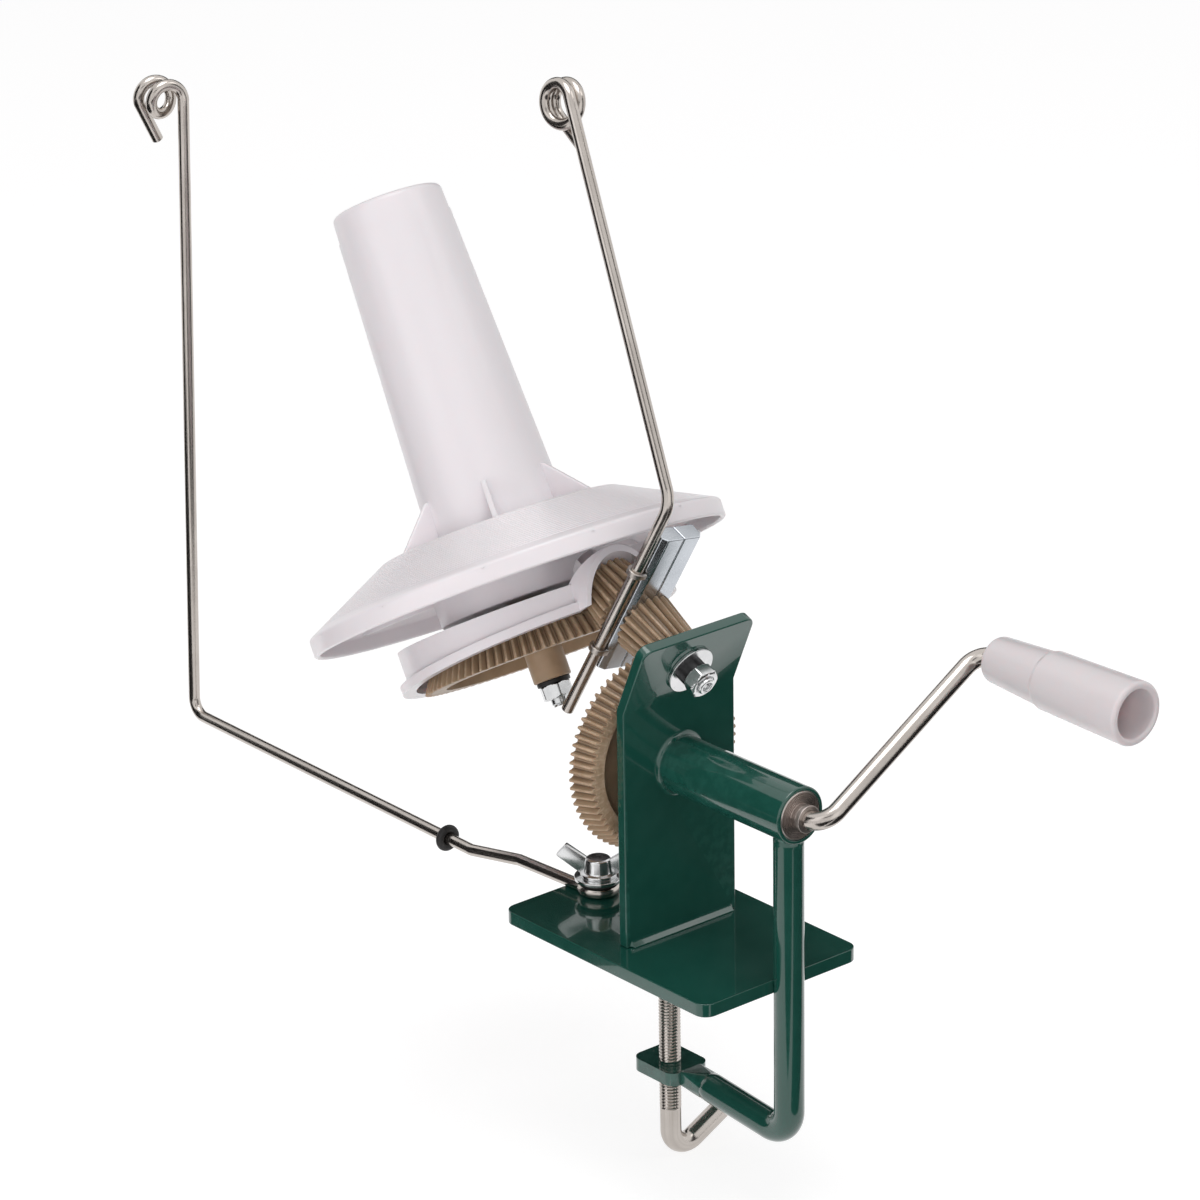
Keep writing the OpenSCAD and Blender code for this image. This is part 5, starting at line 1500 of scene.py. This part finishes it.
def set_camera(scene):
    """The camera where the photograph was taken from."""
    lens = bpy.data.cameras.new("camera")
    lens.lens = CAMERA_FOCUS / PHOTO_WIDTH * lens.sensor_width
    lens.clip_end = 50
    yaw, pitch, roll = CAMERA_YAW, CAMERA_PITCH, CAMERA_ROLL
    back = Vector((math.sin(yaw) * math.cos(pitch), -math.cos(yaw) * math.cos(pitch), math.sin(pitch)))
    right = Vector((math.cos(yaw), math.sin(yaw), 0))
    up = back.cross(right)
    across = math.cos(roll) * right + math.sin(roll) * up
    up = math.cos(roll) * up - math.sin(roll) * right
    camera = stood("camera", lens)
    camera.matrix_world = Matrix.Translation(CAMERA_PLACE) @ Matrix((across, up, back)).transposed().to_4x4()
    scene.camera = camera


def floor_finish():
    """A pale floor that is white where the camera or a reflection sees it, and keeps the shadow."""
    material, tree, shader, where = new_finish("floor_paper", Roughness=0.9, Specular_IOR_Level=0.1)
    ripple = place_effect(tree, "ripple", where, Wave_Scale=6.0, Grain_Scale=500.0, Grain_Share=0.4)
    tree.links.new(mixed(tree, ripple.outputs["Mask"], (0.80, 0.80, 0.80), (0.82, 0.82, 0.82)),
                   shader.inputs["Base Color"])
    dim = tree.nodes.new("ShaderNodeBsdfDiffuse")
    dim.inputs["Color"].default_value = (0.4, 0.4, 0.4, 1)
    glow = tree.nodes.new("ShaderNodeEmission")
    glow.inputs["Strength"].default_value = FLOOR_GLOW
    both = tree.nodes.new("ShaderNodeAddShader")
    tree.links.new(dim.outputs["BSDF"], both.inputs[0])
    tree.links.new(glow.outputs["Emission"], both.inputs[1])
    mix = tree.nodes.new("ShaderNodeMixShader")
    tree.links.new(seen_ray(tree), mix.inputs["Fac"])
    tree.links.new(shader.outputs["BSDF"], mix.inputs[1])
    tree.links.new(both.outputs["Shader"], mix.inputs[2])
    tree.links.new(mix.outputs["Shader"], tree.nodes["Material Output"].inputs["Surface"])
    return material


def card_finish():
    """Dark cloth on the cards that only reflections see."""
    _, tree, shader, where = new_finish("card_cloth", Roughness=1.0, Specular_IOR_Level=0.0)
    ripple = place_effect(tree, "ripple", where, Wave_Scale=8.0, Grain_Scale=300.0, Grain_Share=0.4)
    tree.links.new(mixed(tree, ripple.outputs["Mask"], (0.02, 0.02, 0.02), (0.035, 0.035, 0.035)),
                   shader.inputs["Base Color"])


def seen_ray(tree):
    """One on the rays by which the camera, a reflection or a clear piece sees the surroundings."""
    rays = tree.nodes.new("ShaderNodeLightPath")
    return maths(tree, "MAXIMUM", maths(tree, "MAXIMUM", rays.outputs["Is Camera Ray"],
                                        rays.outputs["Is Glossy Ray"]), rays.outputs["Is Transmission Ray"])


def surroundings(scene):
    """Soft pale surroundings, plain white where the camera or a reflection sees them."""
    world = bpy.data.worlds.new("surroundings")
    scene.world = world
    world.use_nodes = True
    tree = world.node_tree
    shade = tree.nodes["Background"]
    shade.inputs["Color"].default_value = (1, 0.98, 0.99, 1)
    shade.inputs["Strength"].default_value = SURROUNDING_LIGHT
    white = tree.nodes.new("ShaderNodeBackground")
    white.inputs["Strength"].default_value = 1.0
    white.inputs["Color"].default_value = (1, 1, 1, 1)
    mix = tree.nodes.new("ShaderNodeMixShader")
    tree.links.new(seen_ray(tree), mix.inputs["Fac"])
    tree.links.new(shade.outputs["Background"], mix.inputs[1])
    tree.links.new(white.outputs["Background"], mix.inputs[2])
    tree.links.new(mix.outputs["Shader"], tree.nodes["World Output"].inputs["Surface"])


STEPS = ("finishes", "solids", "weldment", "wires", "crank", "gears", "cone", "cover", "fasteners", "stage")


class WINDER_PT_panel(bpy.types.Panel):
    """Lists the winder's building steps and values"""

    bl_label = "Yarn Cone Winder"
    bl_idname = "WINDER_PT_panel"
    bl_space_type = "VIEW_3D"
    bl_region_type = "UI"
    bl_category = "Winder"

    def draw(self, context):
        for step in STEPS:
            self.layout.operator("winder." + step)
        for group in (context.scene.winder_shapes, context.scene.winder_tints):
            for key in group.__annotations__:
                self.layout.prop(group, key)


CLASSES = (
    WinderTints, WinderShapes, WINDER_OT_finishes, WINDER_OT_solids, WINDER_OT_weldment, WINDER_OT_wires,
    WINDER_OT_crank, WINDER_OT_gears, WINDER_OT_cone, WINDER_OT_cover, WINDER_OT_fasteners, WINDER_OT_stage,
    WINDER_PT_panel,
)


def register():
    """Registers the classes and hangs their values on the scene."""
    for entry in CLASSES:
        bpy.utils.register_class(entry)
    bpy.types.Scene.winder_tints = bpy.props.PointerProperty(type=WinderTints)
    bpy.types.Scene.winder_shapes = bpy.props.PointerProperty(type=WinderShapes)


def unregister():
    """Takes the values and the classes away again."""
    del bpy.types.Scene.winder_shapes
    del bpy.types.Scene.winder_tints
    for entry in reversed(CLASSES):
        bpy.utils.unregister_class(entry)


def main():
    """Builds everything in order."""
    register()
    for step in STEPS:
        getattr(bpy.ops.winder, step)()


if __name__ == "__main__":
    main()
